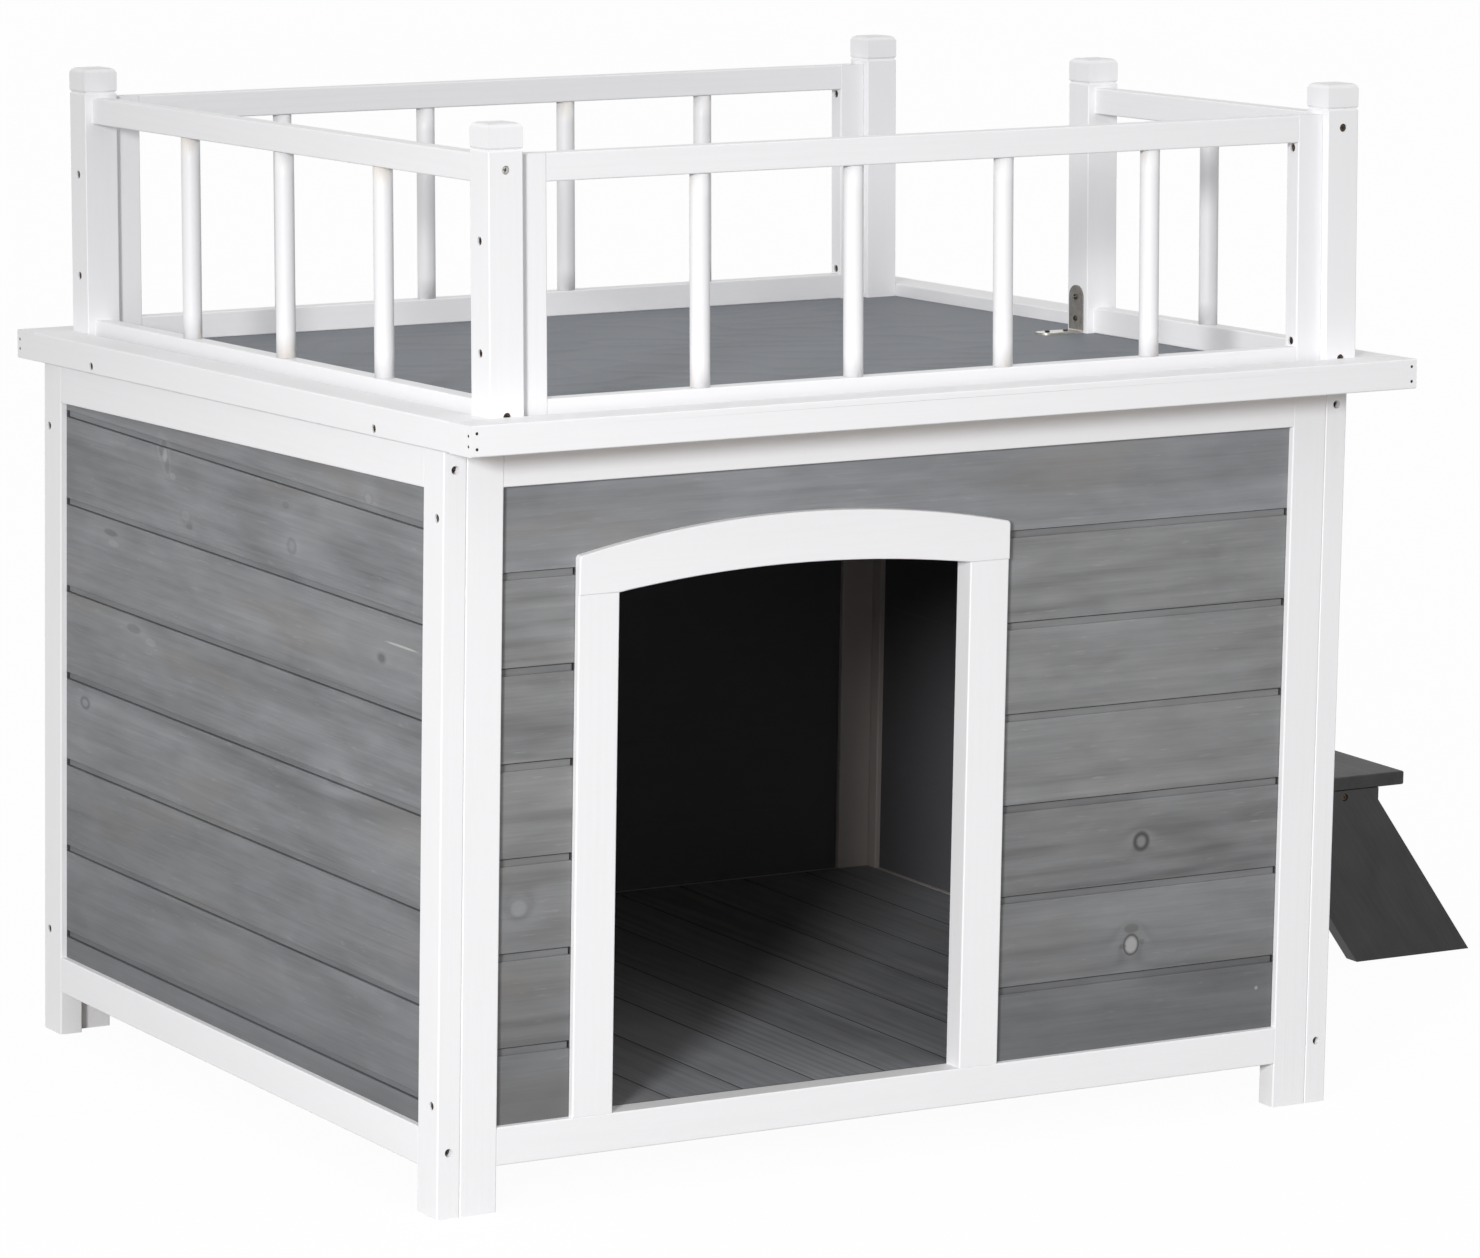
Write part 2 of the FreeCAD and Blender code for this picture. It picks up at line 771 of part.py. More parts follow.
def corner_bracket():
    """An angle bracket that ties the gap post to the deck, with two holes in each leg."""
    face = deck_right - post_width
    front = gap_post_front + (post_width - bracket_width) / 2
    back = front + bracket_width
    upright = block(face - bracket_thickness, face, front, back, deck_top, deck_top + bracket_leg)
    flat = block(face - bracket_leg, face, front, back, deck_top, deck_top + bracket_thickness)
    shape = rounded_leg(upright.fuse(flat).removeSplitter())
    parts["gap_bracket"] = on_roof(shape)
    middle = gap_post_front + post_width / 2
    for reach in (bracket_hole_near, bracket_hole_far):
        on_post = on_roof_point(face - bracket_thickness, middle, deck_top + reach)
        on_deck = on_roof_point(face - reach, middle, deck_top + bracket_thickness)
        short_screw(on_post, AXIS_X, ["gap_bracket", "gap_post"])
        short_screw(on_deck, roof_direction(-AXIS_Z), ["gap_bracket", "deck_cover", "deck_board"])


def rounded_leg(shape):
    """Round the two ends of the bracket's legs."""
    box = shape.BoundBox
    tips = []
    for edge in shape.Edges:
        thin = abs(edge.Length - bracket_thickness) < bracket_thickness * length_match
        middle = edge.BoundBox.Center
        at_top = middle.z > box.ZMax - bracket_thickness
        at_end = middle.x < box.XMin + bracket_thickness
        if thin and (at_top or at_end):
            tips.append(edge)
    return shape.makeFillet(bracket_width / 2 - least_wood, tips)


def build():
    """Make every piece in house coordinates."""
    side_wall("left", lambda shape: shape)
    side_wall("right", mirrored_x)
    front_wall()
    back_wall()
    doorway()
    cabin_floor()
    roof_frame()
    deck()
    posts()
    railings()
    stair()
    wall_screws()
    post_screws()
    rail_screws()
    frame_screws()
    stair_screws()
    roof_nails()
    corner_bracket()
    parts["screws"] = Part.makeCompound(screws)
    parts["roof_nails"] = Part.makeCompound(nails)


def export():
    """Write each piece with the origin under the middle of the whole object's box."""
    os.makedirs("parts", exist_ok=True)
    for name, shape in parts.items():
        shape = shape.copy()
        shape.translate(V(-origin_x, -origin_y, 0))
        shape.exportStep("parts/" + name + ".step")


build()
export()
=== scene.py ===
"""A raised dog house of painted and stained softwood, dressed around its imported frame.

Lengths are in metres. House places count from the lower front left corner of the left
wall: x to the right, y to the back, z up. Roof places are x, the way s down the slope
from the front face, and the height h square to the slope.
"""

import functools
import logging
import math
import operator
from collections.abc import Callable
from dataclasses import dataclass, replace
from enum import Enum
from typing import ClassVar

import bmesh
import bpy
import numpy as np
from mathutils import Matrix, Vector, geometry, noise


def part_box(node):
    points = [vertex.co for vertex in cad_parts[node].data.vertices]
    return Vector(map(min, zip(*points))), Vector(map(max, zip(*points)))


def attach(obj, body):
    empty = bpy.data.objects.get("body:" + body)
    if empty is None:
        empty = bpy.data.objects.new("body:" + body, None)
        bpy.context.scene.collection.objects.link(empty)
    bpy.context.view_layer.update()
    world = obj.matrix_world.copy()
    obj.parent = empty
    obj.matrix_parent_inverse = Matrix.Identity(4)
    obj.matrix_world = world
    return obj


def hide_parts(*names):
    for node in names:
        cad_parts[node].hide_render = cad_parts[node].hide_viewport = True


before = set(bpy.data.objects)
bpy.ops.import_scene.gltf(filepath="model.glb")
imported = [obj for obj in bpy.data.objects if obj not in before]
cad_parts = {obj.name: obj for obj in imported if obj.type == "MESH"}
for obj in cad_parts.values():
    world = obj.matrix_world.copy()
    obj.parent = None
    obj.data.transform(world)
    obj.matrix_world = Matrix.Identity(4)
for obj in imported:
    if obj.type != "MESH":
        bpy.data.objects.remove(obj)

LOG = logging.getLogger("dog_house")
MM = 0.001
TINY = 1e-6
SEED_STEP = 17
WHITE = (1.0, 1.0, 1.0, 1.0)

Number = float | int
Colour = tuple[float, float, float, float]


def shade(red: int, green: int, blue: int) -> Colour:
    """A linear colour from the 0 to 255 levels that it shows at on a screen."""
    levels = []
    for level in (red, green, blue):
        part = level / 255
        levels.append(part / 12.92 if part <= 0.04045 else ((part + 0.055) / 1.055) ** 2.4)
    return (*levels, 1.0)


# ---------------------------------------------------------------- node trees
def operation(kind: str, reflected: bool = False) -> Callable[["Value", "Value | Number"], "Value"]:
    """Make an operator of values.

    Args:
        kind: What the Math node that it adds does.
        reflected: Whether the value stands on the right.

    Returns:
        The operator.
    """

    def operate(value: "Value", other: "Value | Number") -> "Value":
        """Join the value and the other."""
        return value.graph.math(kind, *((other, value) if reflected else (value, other)))

    return operate


class Value:
    """An output socket that takes part in Python expressions."""

    __add__, __radd__ = operation("ADD"), operation("ADD", True)
    __sub__, __rsub__ = operation("SUBTRACT"), operation("SUBTRACT", True)
    __mul__, __rmul__ = operation("MULTIPLY"), operation("MULTIPLY", True)
    __truediv__, __rtruediv__ = operation("DIVIDE"), operation("DIVIDE", True)
    __pow__, __rpow__ = operation("POWER"), operation("POWER", True)

    def __init__(self, graph: "Graph", socket: bpy.types.NodeSocket) -> None:
        """Keep the socket and the graph that its maths goes into."""
        self.graph = graph
        self.socket = socket

    def __neg__(self) -> "Value":
        """This with its sign turned."""
        return self.graph.math("MULTIPLY", self, -1.0)


class Made:
    """A node that a graph has made, whose outputs are read by name or number."""

    def __init__(self, graph: "Graph", node: bpy.types.Node) -> None:
        """Keep the node."""
        self.graph = graph
        self.node = node

    def __getitem__(self, key: str | int) -> Value:
        """The output of that name or number."""
        return Value(self.graph, pick(self.node.outputs, key))


def pick(sockets: bpy.types.bpy_prop_collection, key: str | int) -> bpy.types.NodeSocket:
    """Find a socket.

    Args:
        sockets: A node's inputs or outputs.
        key: Its number, or its name, of which the one in use is taken.

    Returns:
        The socket.
    """
    if isinstance(key, int):
        return sockets[key]
    return next(socket for socket in sockets if socket.name == key and socket.enabled)


class Graph:
    """A shader or Geometry Nodes tree that is written as code."""

    def __init__(self, tree: bpy.types.NodeTree) -> None:
        """Start on an empty tree."""
        self.tree = tree

    def add(self, kind: str, settings: dict | None = None, sockets: dict | None = None) -> Made:
        """Make one node.

        Args:
            kind: The node's type.
            settings: Its own settings.
            sockets: Values or links of its inputs, by name or number.

        Returns:
            The node.
        """
        node = self.tree.nodes.new(kind)
        for name, setting in (settings or {}).items():
            setattr(node, name, setting)
        for key, content in (sockets or {}).items():
            socket = pick(node.inputs, key)
            if isinstance(content, Value):
                self.tree.links.new(content.socket, socket)
            else:
                socket.default_value = content
        return Made(self, node)

    def math(self, kind: str, first: Value | Number, second: Value | Number = 0.0) -> Value:
        """One step of arithmetic on numbers."""
        return self.add("ShaderNodeMath", {"operation": kind}, {0: first, 1: second})["Value"]

    def vector_math(self, kind: str, first: object, second: object, output: str = "Vector") -> Value:
        """One step of arithmetic on vectors."""
        return self.add("ShaderNodeVectorMath", {"operation": kind}, {0: first, 1: second})[output]

    def combine(self, x: object, y: object, z: object) -> Value:
        """A vector from three numbers."""
        return self.add("ShaderNodeCombineXYZ", {}, {"X": x, "Y": y, "Z": z})["Vector"]

    def noise(
        self, vector: Value, detail: float = 2.0, roughness: float = 0.5, distortion: float = 0.0
    ) -> Value:
        """Smooth noise about zero, one unit of the vector to a blot."""
        sockets = {"Vector": vector, "Scale": 1.0, "Detail": detail}
        sockets |= {"Roughness": roughness, "Distortion": distortion}
        return self.add("ShaderNodeTexNoise", {}, sockets)["Fac"] - 0.5

    def ramp(self, value: Value, low: float, high: float) -> Value:
        """Smooth rise from 0 at low to 1 at high."""
        sockets = {"Value": value, "From Min": low, "From Max": high, "To Min": 0.0, "To Max": 1.0}
        return self.add("ShaderNodeMapRange", {"interpolation_type": "SMOOTHSTEP"}, sockets)["Result"]

    def mix(self, factor: Value | Number, first: object, second: object) -> Value:
        """One colour laid over another."""
        settings = {"data_type": "RGBA", "clamp_factor": True}
        return self.add("ShaderNodeMix", settings, {"Factor": factor, "A": first, "B": second})["Result"]

    def layers(self, colour: object, *overs: tuple[Value | Number, Colour]) -> Value:
        """Colours laid over one another in turn, each with how far it covers."""
        for factor, over in overs:
            colour = self.mix(factor, colour, over)
        return colour

    def place(self) -> Value:
        """The place on the piece, in the frame."""
        return self.add("ShaderNodeTexCoord")["Object"]

    def axes(self, vector: Value) -> Made:
        """The three numbers of a vector, by the names of the axes."""
        return self.add("ShaderNodeSeparateXYZ", {}, {"Vector": vector})

    def attribute(self, name: str) -> Value:
        """A number stored on the mesh, or 0 where the mesh doesn't have it."""
        return self.add("ShaderNodeAttribute", {"attribute_name": name})["Fac"]

    def bump(self, height: Value, depth: float) -> Value:
        """A normal that follows a height from 0 to 1, which stands for a depth."""
        return self.add("ShaderNodeBump", {}, {"Strength": 1.0, "Distance": depth, "Height": height})["Normal"]


# ---------------------------------------------------------------- sizes
@dataclass(frozen=True)
class House:
    """The sizes that several pieces share."""

    width: float = 1.040
    depth: float = 0.881
    front_height: float = 0.747
    slope: float = math.radians(2.0)
    frame_thickness: float = 0.025
    stile: float = 0.040
    rail_top: float = 0.084
    rail: float = 0.040
    pitch: float = 0.0928
    front_line: float = 0.1596
    side_line: float = 0.1132
    recess: float = 0.007
    rebate: float = 0.0065
    door_left: float = 0.148
    door_right: float = 0.6365
    deck_left: float = 0.037
    deck_right: float = 1.033
    deck_front: float = -0.023
    deck_back: float = 0.888
    cover_low: float = 0.015
    cover_high: float = 0.0165
    post: float = 0.037
    corner: tuple[float, float, float] = tuple(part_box("left_wall_front_stile")[0])

    @property
    def eaves(self) -> float:
        """Height of the walls at the back."""
        return self.front_height - self.depth * math.tan(self.slope)

    def spot(self, x: float, y: float, z: float) -> Vector:
        """A place in the frame, given in house coordinates."""
        return Vector(self.corner) + Vector((x, y, z))

    def roof(self) -> Matrix:
        """The turn and shift from roof coordinates into the frame."""
        return Matrix.Translation(self.spot(0, 0, self.front_height)) @ Matrix.Rotation(-self.slope, 4, "X")


HOUSE = House()


# ---------------------------------------------------------------- finishes
class Grain(Enum):
    """Names of the axes along the fibres, across the face, and into the wood."""

    FRONT = ("X", "Z", "Y")
    SIDE = ("Y", "Z", "X")
    FLOOR = ("Y", "X", "Z")
    UPRIGHT = ("Z", "X", "Y")


@dataclass(frozen=True)
class Knot:
    """A knot, fleck or scar on a board.

    Args:
        along: Its place along the fibres, in the frame.
        across: Its place across the face, in the frame.
        radius: Its size across the fibres.
        core: How much paler its middle is, below 0 for darker.
        rim: How dark the ring round it is.
        band: How wide that ring is, as a share of the radius.
        stretch: How much longer it is along the fibres.
        halo: How much paler the wood round it is.
    """

    along: float
    across: float
    radius: float
    core: float = -0.4
    rim: float = 0.3
    band: float = 0.25
    stretch: float = 1.0
    halo: float = 0.0


@dataclass
class Figure:
    """What the timber's drawing gives to a finish, each about 0 to 1."""

    rings: Value
    fibre: Value
    blotch: Value
    cloud: Value
    streak: Value
    fleck: Value
    tint: Value
    plank: Value
    core: Value | Number
    rim: Value | Number
    halo: Value | Number
    height: Value

    def sway(self, **weights: float) -> Value:
        """Sum the named parts' departures from their middle.

        Args:
            weights: How much each part counts.

        Returns:
            A number about 0.
        """
        parts = [(getattr(self, name) - 0.5) * much for name, much in weights.items()]
        return functools.reduce(operator.add, parts)


@dataclass(frozen=True)
class Layer:
    """One size of spots in the wood.

    Args:
        along: Spots a metre along the fibres.
        across: Spots a metre across them.
        detail: How many finer sizes are mixed in.
        roughness: How strong those are.
        distortion: How far the spots are stirred.
        shift: How far off its noise is taken, so that it differs from other layers.
    """

    along: float
    across: float
    detail: float = 2.0
    roughness: float = 0.5
    distortion: float = 0.0
    shift: float = 0.0

    def draw(self, graph: Graph, run: Value, across: Value, deep: Value) -> Value:
        """Lay the spots into a shader tree, as a number about 0."""
        place = graph.combine(run * self.along, across * self.across, deep * self.across + self.shift)
        return graph.noise(place, self.detail, self.roughness, self.distortion)


BEND = Layer(2.2, 9.0)
RIPPLE = Layer(6.0, 60.0)
SPOTS = {
    "fibre": Layer(14.0, 520.0, 3.0, 0.6),
    "blotch": Layer(9.0, 34.0, 3.0, 0.55, 0.4),
    "cloud": Layer(8.0, 20.0, 2.0, 0.5, 0.8, 3.0),
    "streak": Layer(4.5, 130.0, 2.0, 0.6, 0.3),
    "fleck": Layer(32.0, 240.0, 2.0, 0.6),
    "tint": Layer(3.0, 11.0, shift=7.0),
}


@dataclass(frozen=True)
class Timber:
    """How the year rings and fibres of one cut of wood run."""

    grain: Grain
    ring: float = 0.0085
    heart: float = 0.0
    heart_depth: float = 0.020
    wander: float = 0.014
    reach: float = 0.030
    tilt: float = 0.0
    knots: tuple[Knot, ...] = ()
    plank_step: float = 11.0
    sink_scale: tuple[float, float] = (1.3, 31.0)
    sink_cut: float = 0.3
    bold_scale: tuple[float, float, float] = (1.1, 7.0, 53.0)
    lean: float = 0.4
    ripple: float = 1.6
    late_wood: float = 2.2
    bold_from: float = -0.26
    bold_to: float = 0.16
    knot_pull: float = 0.9
    knot_spread: float = -0.35
    halo_spread: float = -0.22
    ragged: float = 0.35
    core_edge: float = 0.6

    def draw(self, graph: Graph) -> Figure:
        """Lay the timber's figure into a shader tree.

        Args:
            graph: The tree.

        Returns:
            The parts of the figure.
        """
        place = graph.place()
        if self.tilt:
            sockets = {"Vector": place, "Rotation": (0.0, self.tilt, 0.0)}
            place = graph.add("ShaderNodeMapping", {}, sockets)["Vector"]
        axes = graph.axes(place)
        along, across, deep = (axes[name] for name in self.grain.value)
        plank = graph.attribute("plank")
        run = along + plank * self.plank_step
        bend = BEND.draw(graph, run, across, deep)
        sink_run, sink_plank = self.sink_scale
        sink = graph.noise(graph.combine(run * sink_run, plank * sink_plank, self.sink_cut), 1.0)
        side = across - (graph.attribute("heart") + self.heart) + bend * self.wander
        depth = self.heart_depth + sink * self.reach + deep * self.lean
        reach = graph.math("SQRT", side * side + depth * depth)
        core = rim = halo = 0.0
        for knot in self.knots:
            gap_along = (along - knot.along) / (knot.radius * knot.stretch)
            gap_across = (across - knot.across) / knot.radius
            far = graph.math("SQRT", gap_along * gap_along + gap_across * gap_across)
            reach = reach + graph.math("EXPONENT", far * far * self.knot_spread) * knot.radius * self.knot_pull
            halo = halo + graph.math("EXPONENT", far * far * self.halo_spread) * knot.halo
            ragged = far + bend * self.ragged
            core = core + graph.ramp(ragged, 1.0, self.core_edge) * knot.core
            edge = graph.ramp(ragged, 1.0 + knot.band, 1.0) * graph.ramp(ragged, 1.0 - knot.band, 1.0)
            rim = rim + edge * knot.rim
        turn = reach * (math.tau / self.ring) + RIPPLE.draw(graph, run, across, deep) * self.ripple
        wave = graph.math("COSINE", turn) * 0.5 + 0.5
        bold_run, bold_across, bold_plank = self.bold_scale
        bold = graph.noise(graph.combine(run * bold_run, across * bold_across, plank * bold_plank), 1.0)
        rings = wave ** self.late_wood * graph.ramp(bold, self.bold_from, self.bold_to)
        spots = {name: layer.draw(graph, run, across, deep) + 0.5 for name, layer in SPOTS.items()}
        return Figure(rings=rings, plank=plank, core=core, rim=rim, halo=halo, height=axes["Z"], **spots)


@dataclass(frozen=True)
class Finish:
    """A surface finish that becomes one Blender material."""

    name: str

    def coat(self, graph: Graph) -> Value:
        """Build the finish.

        Args:
            graph: The material's tree.

        Returns:
            The shader.
        """
        raise NotImplementedError

    @functools.cache
    def material(self) -> bpy.types.Material:
        """The finish as a material, made once."""
        made = bpy.data.materials.new(self.name)
        made.use_nodes = True
        made.node_tree.nodes.clear()
        graph = Graph(made.node_tree)
        graph.add("ShaderNodeOutputMaterial", {}, {"Surface": self.coat(graph)})
        return made


def principled(graph: Graph, **sockets: object) -> Value:
    """A principled shader, whose sockets are named with low lines for spaces."""
    named = {name.replace("_", " "): content for name, content in sockets.items()}
    return graph.add("ShaderNodeBsdfPrincipled", {}, named)["BSDF"]


def in_cabin(graph: Graph, below_roof: float = 2 * MM, margin: float = 0.5 * MM) -> Value:
    """1 on the faces that look into the cabin, by their place in the house.

    Args:
        graph: The material's tree.
        below_roof: How far under the eaves the cabin ends.
        margin: How far a face may lie outside its limits.

    Returns:
        The number.
    """
    near = HOUSE.frame_thickness - HOUSE.rebate
    low = HOUSE.spot(near, HOUSE.frame_thickness, HOUSE.rail_top)
    high = HOUSE.spot(HOUSE.width - near, HOUSE.depth - near, HOUSE.eaves - below_roof)
    place = graph.axes(graph.place())
    mask = None
    for axis, least, most in zip("XYZ", low, high):
        above = graph.math("GREATER_THAN", place[axis], least - margin)
        between = above * graph.math("LESS_THAN", place[axis], most + margin)
        mask = between if mask is None else mask * between
    return mask


@dataclass(frozen=True)
class Veil:
    """A colour that a finish shows more of as one part of the timber's figure changes.

    Args:
        part: The part's name.
        start: Its level where the colour begins to show.
        full: Its level where the colour shows most.
        share: How far the colour then covers.
        colour: The name of the finish's colour.
    """

    part: str
    start: float
    full: float
    share: float
    colour: str


@dataclass(frozen=True)
class WoodFinish(Finish):
    """A finish on timber, shinier in patches and raised along the fibres and rings."""

    timber: Timber
    rough: ClassVar[float] = 0.46
    patches: ClassVar[dict[str, float]] = {"blotch": 0.16}
    raised: ClassVar[float] = 0.7
    relief: ClassVar[float] = 0.00012

    def colour(self, graph: Graph, figure: Figure) -> Value:
        """Mix the colour that the finish shows.

        Args:
            graph: The material's tree.
            figure: The timber's figure.

        Returns:
            The colour.
        """
        raise NotImplementedError

    def coat(self, graph: Graph) -> Value:
        """The finish's colour on the timber's relief."""
        figure = self.timber.draw(graph)
        return principled(
            graph,
            Base_Color=self.colour(graph, figure),
            Roughness=self.rough + figure.sway(**self.patches),
            Normal=graph.bump(figure.fibre * self.raised + figure.rings * (1.0 - self.raised), self.relief),
        )


@dataclass(frozen=True)
class WhitePaint(WoodFinish):
    """White satin paint through which a little of the grain can be felt."""

    pale: Colour = (0.904, 0.899, 0.914, 1.0)
    worn: Colour = (0.800, 0.797, 0.806, 1.0)
    # Painted shade for the faces that look into the cabin.
    cabin_shade: Colour = shade(188, 181, 177)
    bare: Colour = shade(232, 220, 200)
    thinnest: ClassVar[float] = 0.08
    ring_show: ClassVar[float] = 0.06
    bare_from: ClassVar[float] = 0.46
    bare_to: ClassVar[float] = 0.64
    bare_share: ClassVar[float] = 0.5

    def colour(self, graph: Graph, figure: Figure) -> Value:
        """Paint that is thinner on the hard rings, and darkened by painted shade inside the cabin."""
        thin = figure.sway(fibre=0.20, streak=0.16, blotch=0.20)
        thin = figure.rings * self.ring_show + thin + self.thinnest
        patchy = graph.ramp(figure.blotch + figure.sway(fibre=0.5), self.bare_from, self.bare_to)
        seat = graph.attribute("seat") * patchy * self.bare_share
        paint = graph.mix(thin, self.pale, self.worn)
        # Inside the cabin the paint is darkened to a grey-brown: painted shade.
        return graph.layers(paint, (seat, self.bare), (in_cabin(graph), self.cabin_shade))


@dataclass(frozen=True)
class GreyStain(WoodFinish):
    """A thin grey stain that leaves the rings and knots to be seen."""

    rough: ClassVar[float] = 0.66
    patches: ClassVar[dict[str, float]] = {"blotch": 0.2}
    raised: ClassVar[float] = 0.6
    relief: ClassVar[float] = 0.00022
    dark: Colour = shade(92, 93, 95)
    light: Colour = shade(146, 148, 151)
    warm: Colour = shade(130, 124, 118)
    knot: Colour = shade(64, 62, 62)
    scar: Colour = shade(182, 182, 180)
    # Darker colour towards the bottom; in the set-back lip band it is painted shade.
    bottom_dark_and_lip_shade: Colour = shade(78, 80, 83)
    # Painted shade for the boards' inner faces.
    inside: Colour = shade(86, 86, 90)
    hair: Colour = shade(170, 171, 172)
    # Near black painted shade in the pits at the lip ends, in the gaps between lipless boards and at the board
    # ends.
    gap_shade: Colour = shade(22, 22, 23)
    lift: float = 0.0
    streaks: float = 0.62
    rings: float = 0.34
    middle: ClassVar[float] = 0.63
    lip_shade: ClassVar[float] = 0.12
    seam_shade: ClassVar[float] = 0.55
    veils: ClassVar[tuple[Veil, ...]] = (
        Veil("tint", 0.50, 0.80, 0.45, "warm"),
        Veil("fleck", 0.62, 0.80, 0.26, "hair"),
        # Darker towards the bottom of the house.
        Veil("height", 0.44, 0.04, 0.37, "bottom_dark_and_lip_shade"),
        Veil("height", 0.18, 0.09, 0.30, "bottom_dark_and_lip_shade"),
    )

    def colour(self, graph: Graph, figure: Figure) -> Value:
        """Stain that soaks into the soft wood and stays pale on the rings, darker towards the bottom, with
        painted shade in the lip band, the pits, the gaps, at the board ends and on the inner faces.
        """
        tone = figure.sway(fibre=0.36, streak=self.streaks, blotch=0.60, cloud=0.62, plank=0.26)
        tone = tone - figure.rings * self.rings + figure.halo + (self.middle + self.lift)
        tints = []
        for veil in self.veils:
            cover = graph.ramp(getattr(figure, veil.part), veil.start, veil.full) * veil.share
            tints.append((cover, getattr(self, veil.colour)))
        return graph.layers(
            graph.mix(tone, self.dark, self.light),
            *tints,
            # Painted shade in the set-back lip band.
            (graph.attribute("lip") * self.lip_shade, self.bottom_dark_and_lip_shade),
            (figure.core, self.scar),
            (-figure.core, self.knot),
            (figure.rim, self.knot),
            # Painted shade on the boards' inner faces.
            (graph.attribute("inner"), self.inside),
            # Painted shade at the board ends, and in the pits and gaps.
            (graph.attribute("seam") ** 2.0 * self.seam_shade, self.gap_shade),
            (graph.attribute("gap_shade"), self.gap_shade),
        )


@dataclass(frozen=True)
class StairStain(WoodFinish):
    """Charcoal stain, rubbed through to brown wood on the treads' noses."""

    rough: ClassVar[float] = 0.58
    patches: ClassVar[dict[str, float]] = {"blotch": 0.25}
    relief: ClassVar[float] = 0.00025
    dark: Colour = shade(33, 31, 32)
    light: Colour = shade(74, 71, 71)
    rubbed: Colour = shade(124, 104, 86)
    middle: ClassVar[float] = 0.34
    ring_dark: ClassVar[float] = 0.08
    rub_from: ClassVar[float] = 0.70
    rub_to: ClassVar[float] = 1.30
    rub_share: ClassVar[float] = 0.6

    def colour(self, graph: Graph, figure: Figure) -> Value:
        """Brushed dark stain with dry streaks."""
        tone = self.middle - figure.rings * self.ring_dark + figure.sway(fibre=0.5, blotch=1.2, cloud=1.1)
        wear = graph.attribute("nose") + figure.sway(blotch=1.3, fibre=0.8)
        bare = graph.ramp(wear, self.rub_from, self.rub_to) * self.rub_share
        return graph.layers(graph.mix(tone, self.dark, self.light), (bare, self.rubbed))


@dataclass(frozen=True)
class PlainWood(WoodFinish):
    """Sawn fir without a coat."""

    rough: ClassVar[float] = 0.78
    patches: ClassVar[dict[str, float]] = {"fibre": 0.1}
    raised: ClassVar[float] = 1.0
    relief: ClassVar[float] = 0.0003
    early: Colour = shade(222, 196, 158)
    late: Colour = shade(186, 148, 104)
    palest: ClassVar[float] = 0.15
    ring_dark: ClassVar[float] = 0.6

    def colour(self, graph: Graph, figure: Figure) -> Value:
        """Pale wood with darker rings."""
        tone = figure.rings * self.ring_dark + figure.sway(fibre=0.5, blotch=0.4) + self.palest
        return graph.mix(tone, self.early, self.late)


@dataclass(frozen=True)
class DeckSheet(Finish):
    """The blue-grey weatherproof sheet over the deck."""

    dark: Colour = shade(98, 102, 108)
    light: Colour = shade(124, 128, 134)
    grit_scale: tuple[float, float, float] = (900.0, 900.0, 900.0)
    smear_scale: tuple[float, float, float] = (9.0, 14.0, 9.0)
    grit_tone: float = 0.7
    smear_tone: float = 1.2
    rough: float = 0.62
    smear_rough: float = 0.3
    relief: float = 0.00012

    def coat(self, graph: Graph) -> Value:
        """A dull coated sheet with fine grit and soft smears."""
        place = graph.place()
        grit = graph.noise(graph.vector_math("MULTIPLY", place, self.grit_scale), 2.0)
        smear = graph.noise(graph.vector_math("MULTIPLY", place, self.smear_scale), 4.0, 0.6, 0.6)
        tone = 0.5 + grit * self.grit_tone + smear * self.smear_tone
        return principled(
            graph,
            Base_Color=graph.mix(tone, self.dark, self.light),
            Roughness=self.rough + smear * self.smear_rough,
            Normal=graph.bump(grit + 0.5, self.relief),
        )


@dataclass(frozen=True)
class Steel(Finish):
    """Plated steel, dulled by handling."""

    clean: Colour = shade(186, 184, 178)
    dull: Colour = shade(120, 112, 102)
    rough: float = 0.38
    grit_scale: float = 260.0
    # Near black for the marked parts: painted shade round screw heads, and the bracket's darker upright leg.
    hole_shade_and_dark_leg: Colour = shade(34, 29, 25)
    pit_scale: float = 9.0
    smudge_tone: float = 1.6
    smudge_rough: float = 0.3
    relief: float = 0.00002

    def coat(self, graph: Graph) -> Value:
        """Metal with smudges and fine pits, near black and not metallic where marked: painted shade round screw
        heads, and the bracket's darker upright leg.
        """
        place = graph.vector_math("MULTIPLY", graph.place(), (self.grit_scale,) * 3)
        smudge = graph.noise(place, 3.0, 0.6)
        pits = graph.noise(graph.vector_math("MULTIPLY", place, (self.pit_scale,) * 3), 1.0)
        metal = graph.mix(0.5 + smudge * self.smudge_tone, self.clean, self.dull)
        return principled(
            graph,
            Base_Color=graph.mix(graph.attribute("hole_shade_and_dark_leg"), metal, self.hole_shade_and_dark_leg),
            Metallic=1.0 - graph.attribute("hole_shade_and_dark_leg"),
            Roughness=self.rough + smudge * self.smudge_rough,
            Normal=graph.bump(pits + 0.5, self.relief),
        )


def white(grain: Grain) -> WhitePaint:
    """The white paint on timber of one grain."""
    return WhitePaint("white_" + grain.name.lower(), Timber(grain))


def raw_wood() -> PlainWood:
    """The bare timber that lies level under the deck and the floor."""
    return PlainWood("plain_wood_level", Timber(Grain.FRONT))


SIDES = {"front": Grain.FRONT, "back": Grain.FRONT, "left": Grain.SIDE, "right": Grain.SIDE}


# ---------------------------------------------------------------- mesh helpers
def new_object(name: str, mesh: bpy.types.Mesh) -> bpy.types.Object:
    """Put a mesh into the scene as an object at the origin."""
    made = bpy.data.objects.new(name, mesh)
    bpy.context.scene.collection.objects.link(made)
    return made


def mesh_from(name: str, work: bmesh.types.BMesh) -> bpy.types.Mesh:
    """Turn a bmesh into a mesh and free it."""
    made = bpy.data.meshes.new(name)
    work.to_mesh(made)
    work.free()
    return made


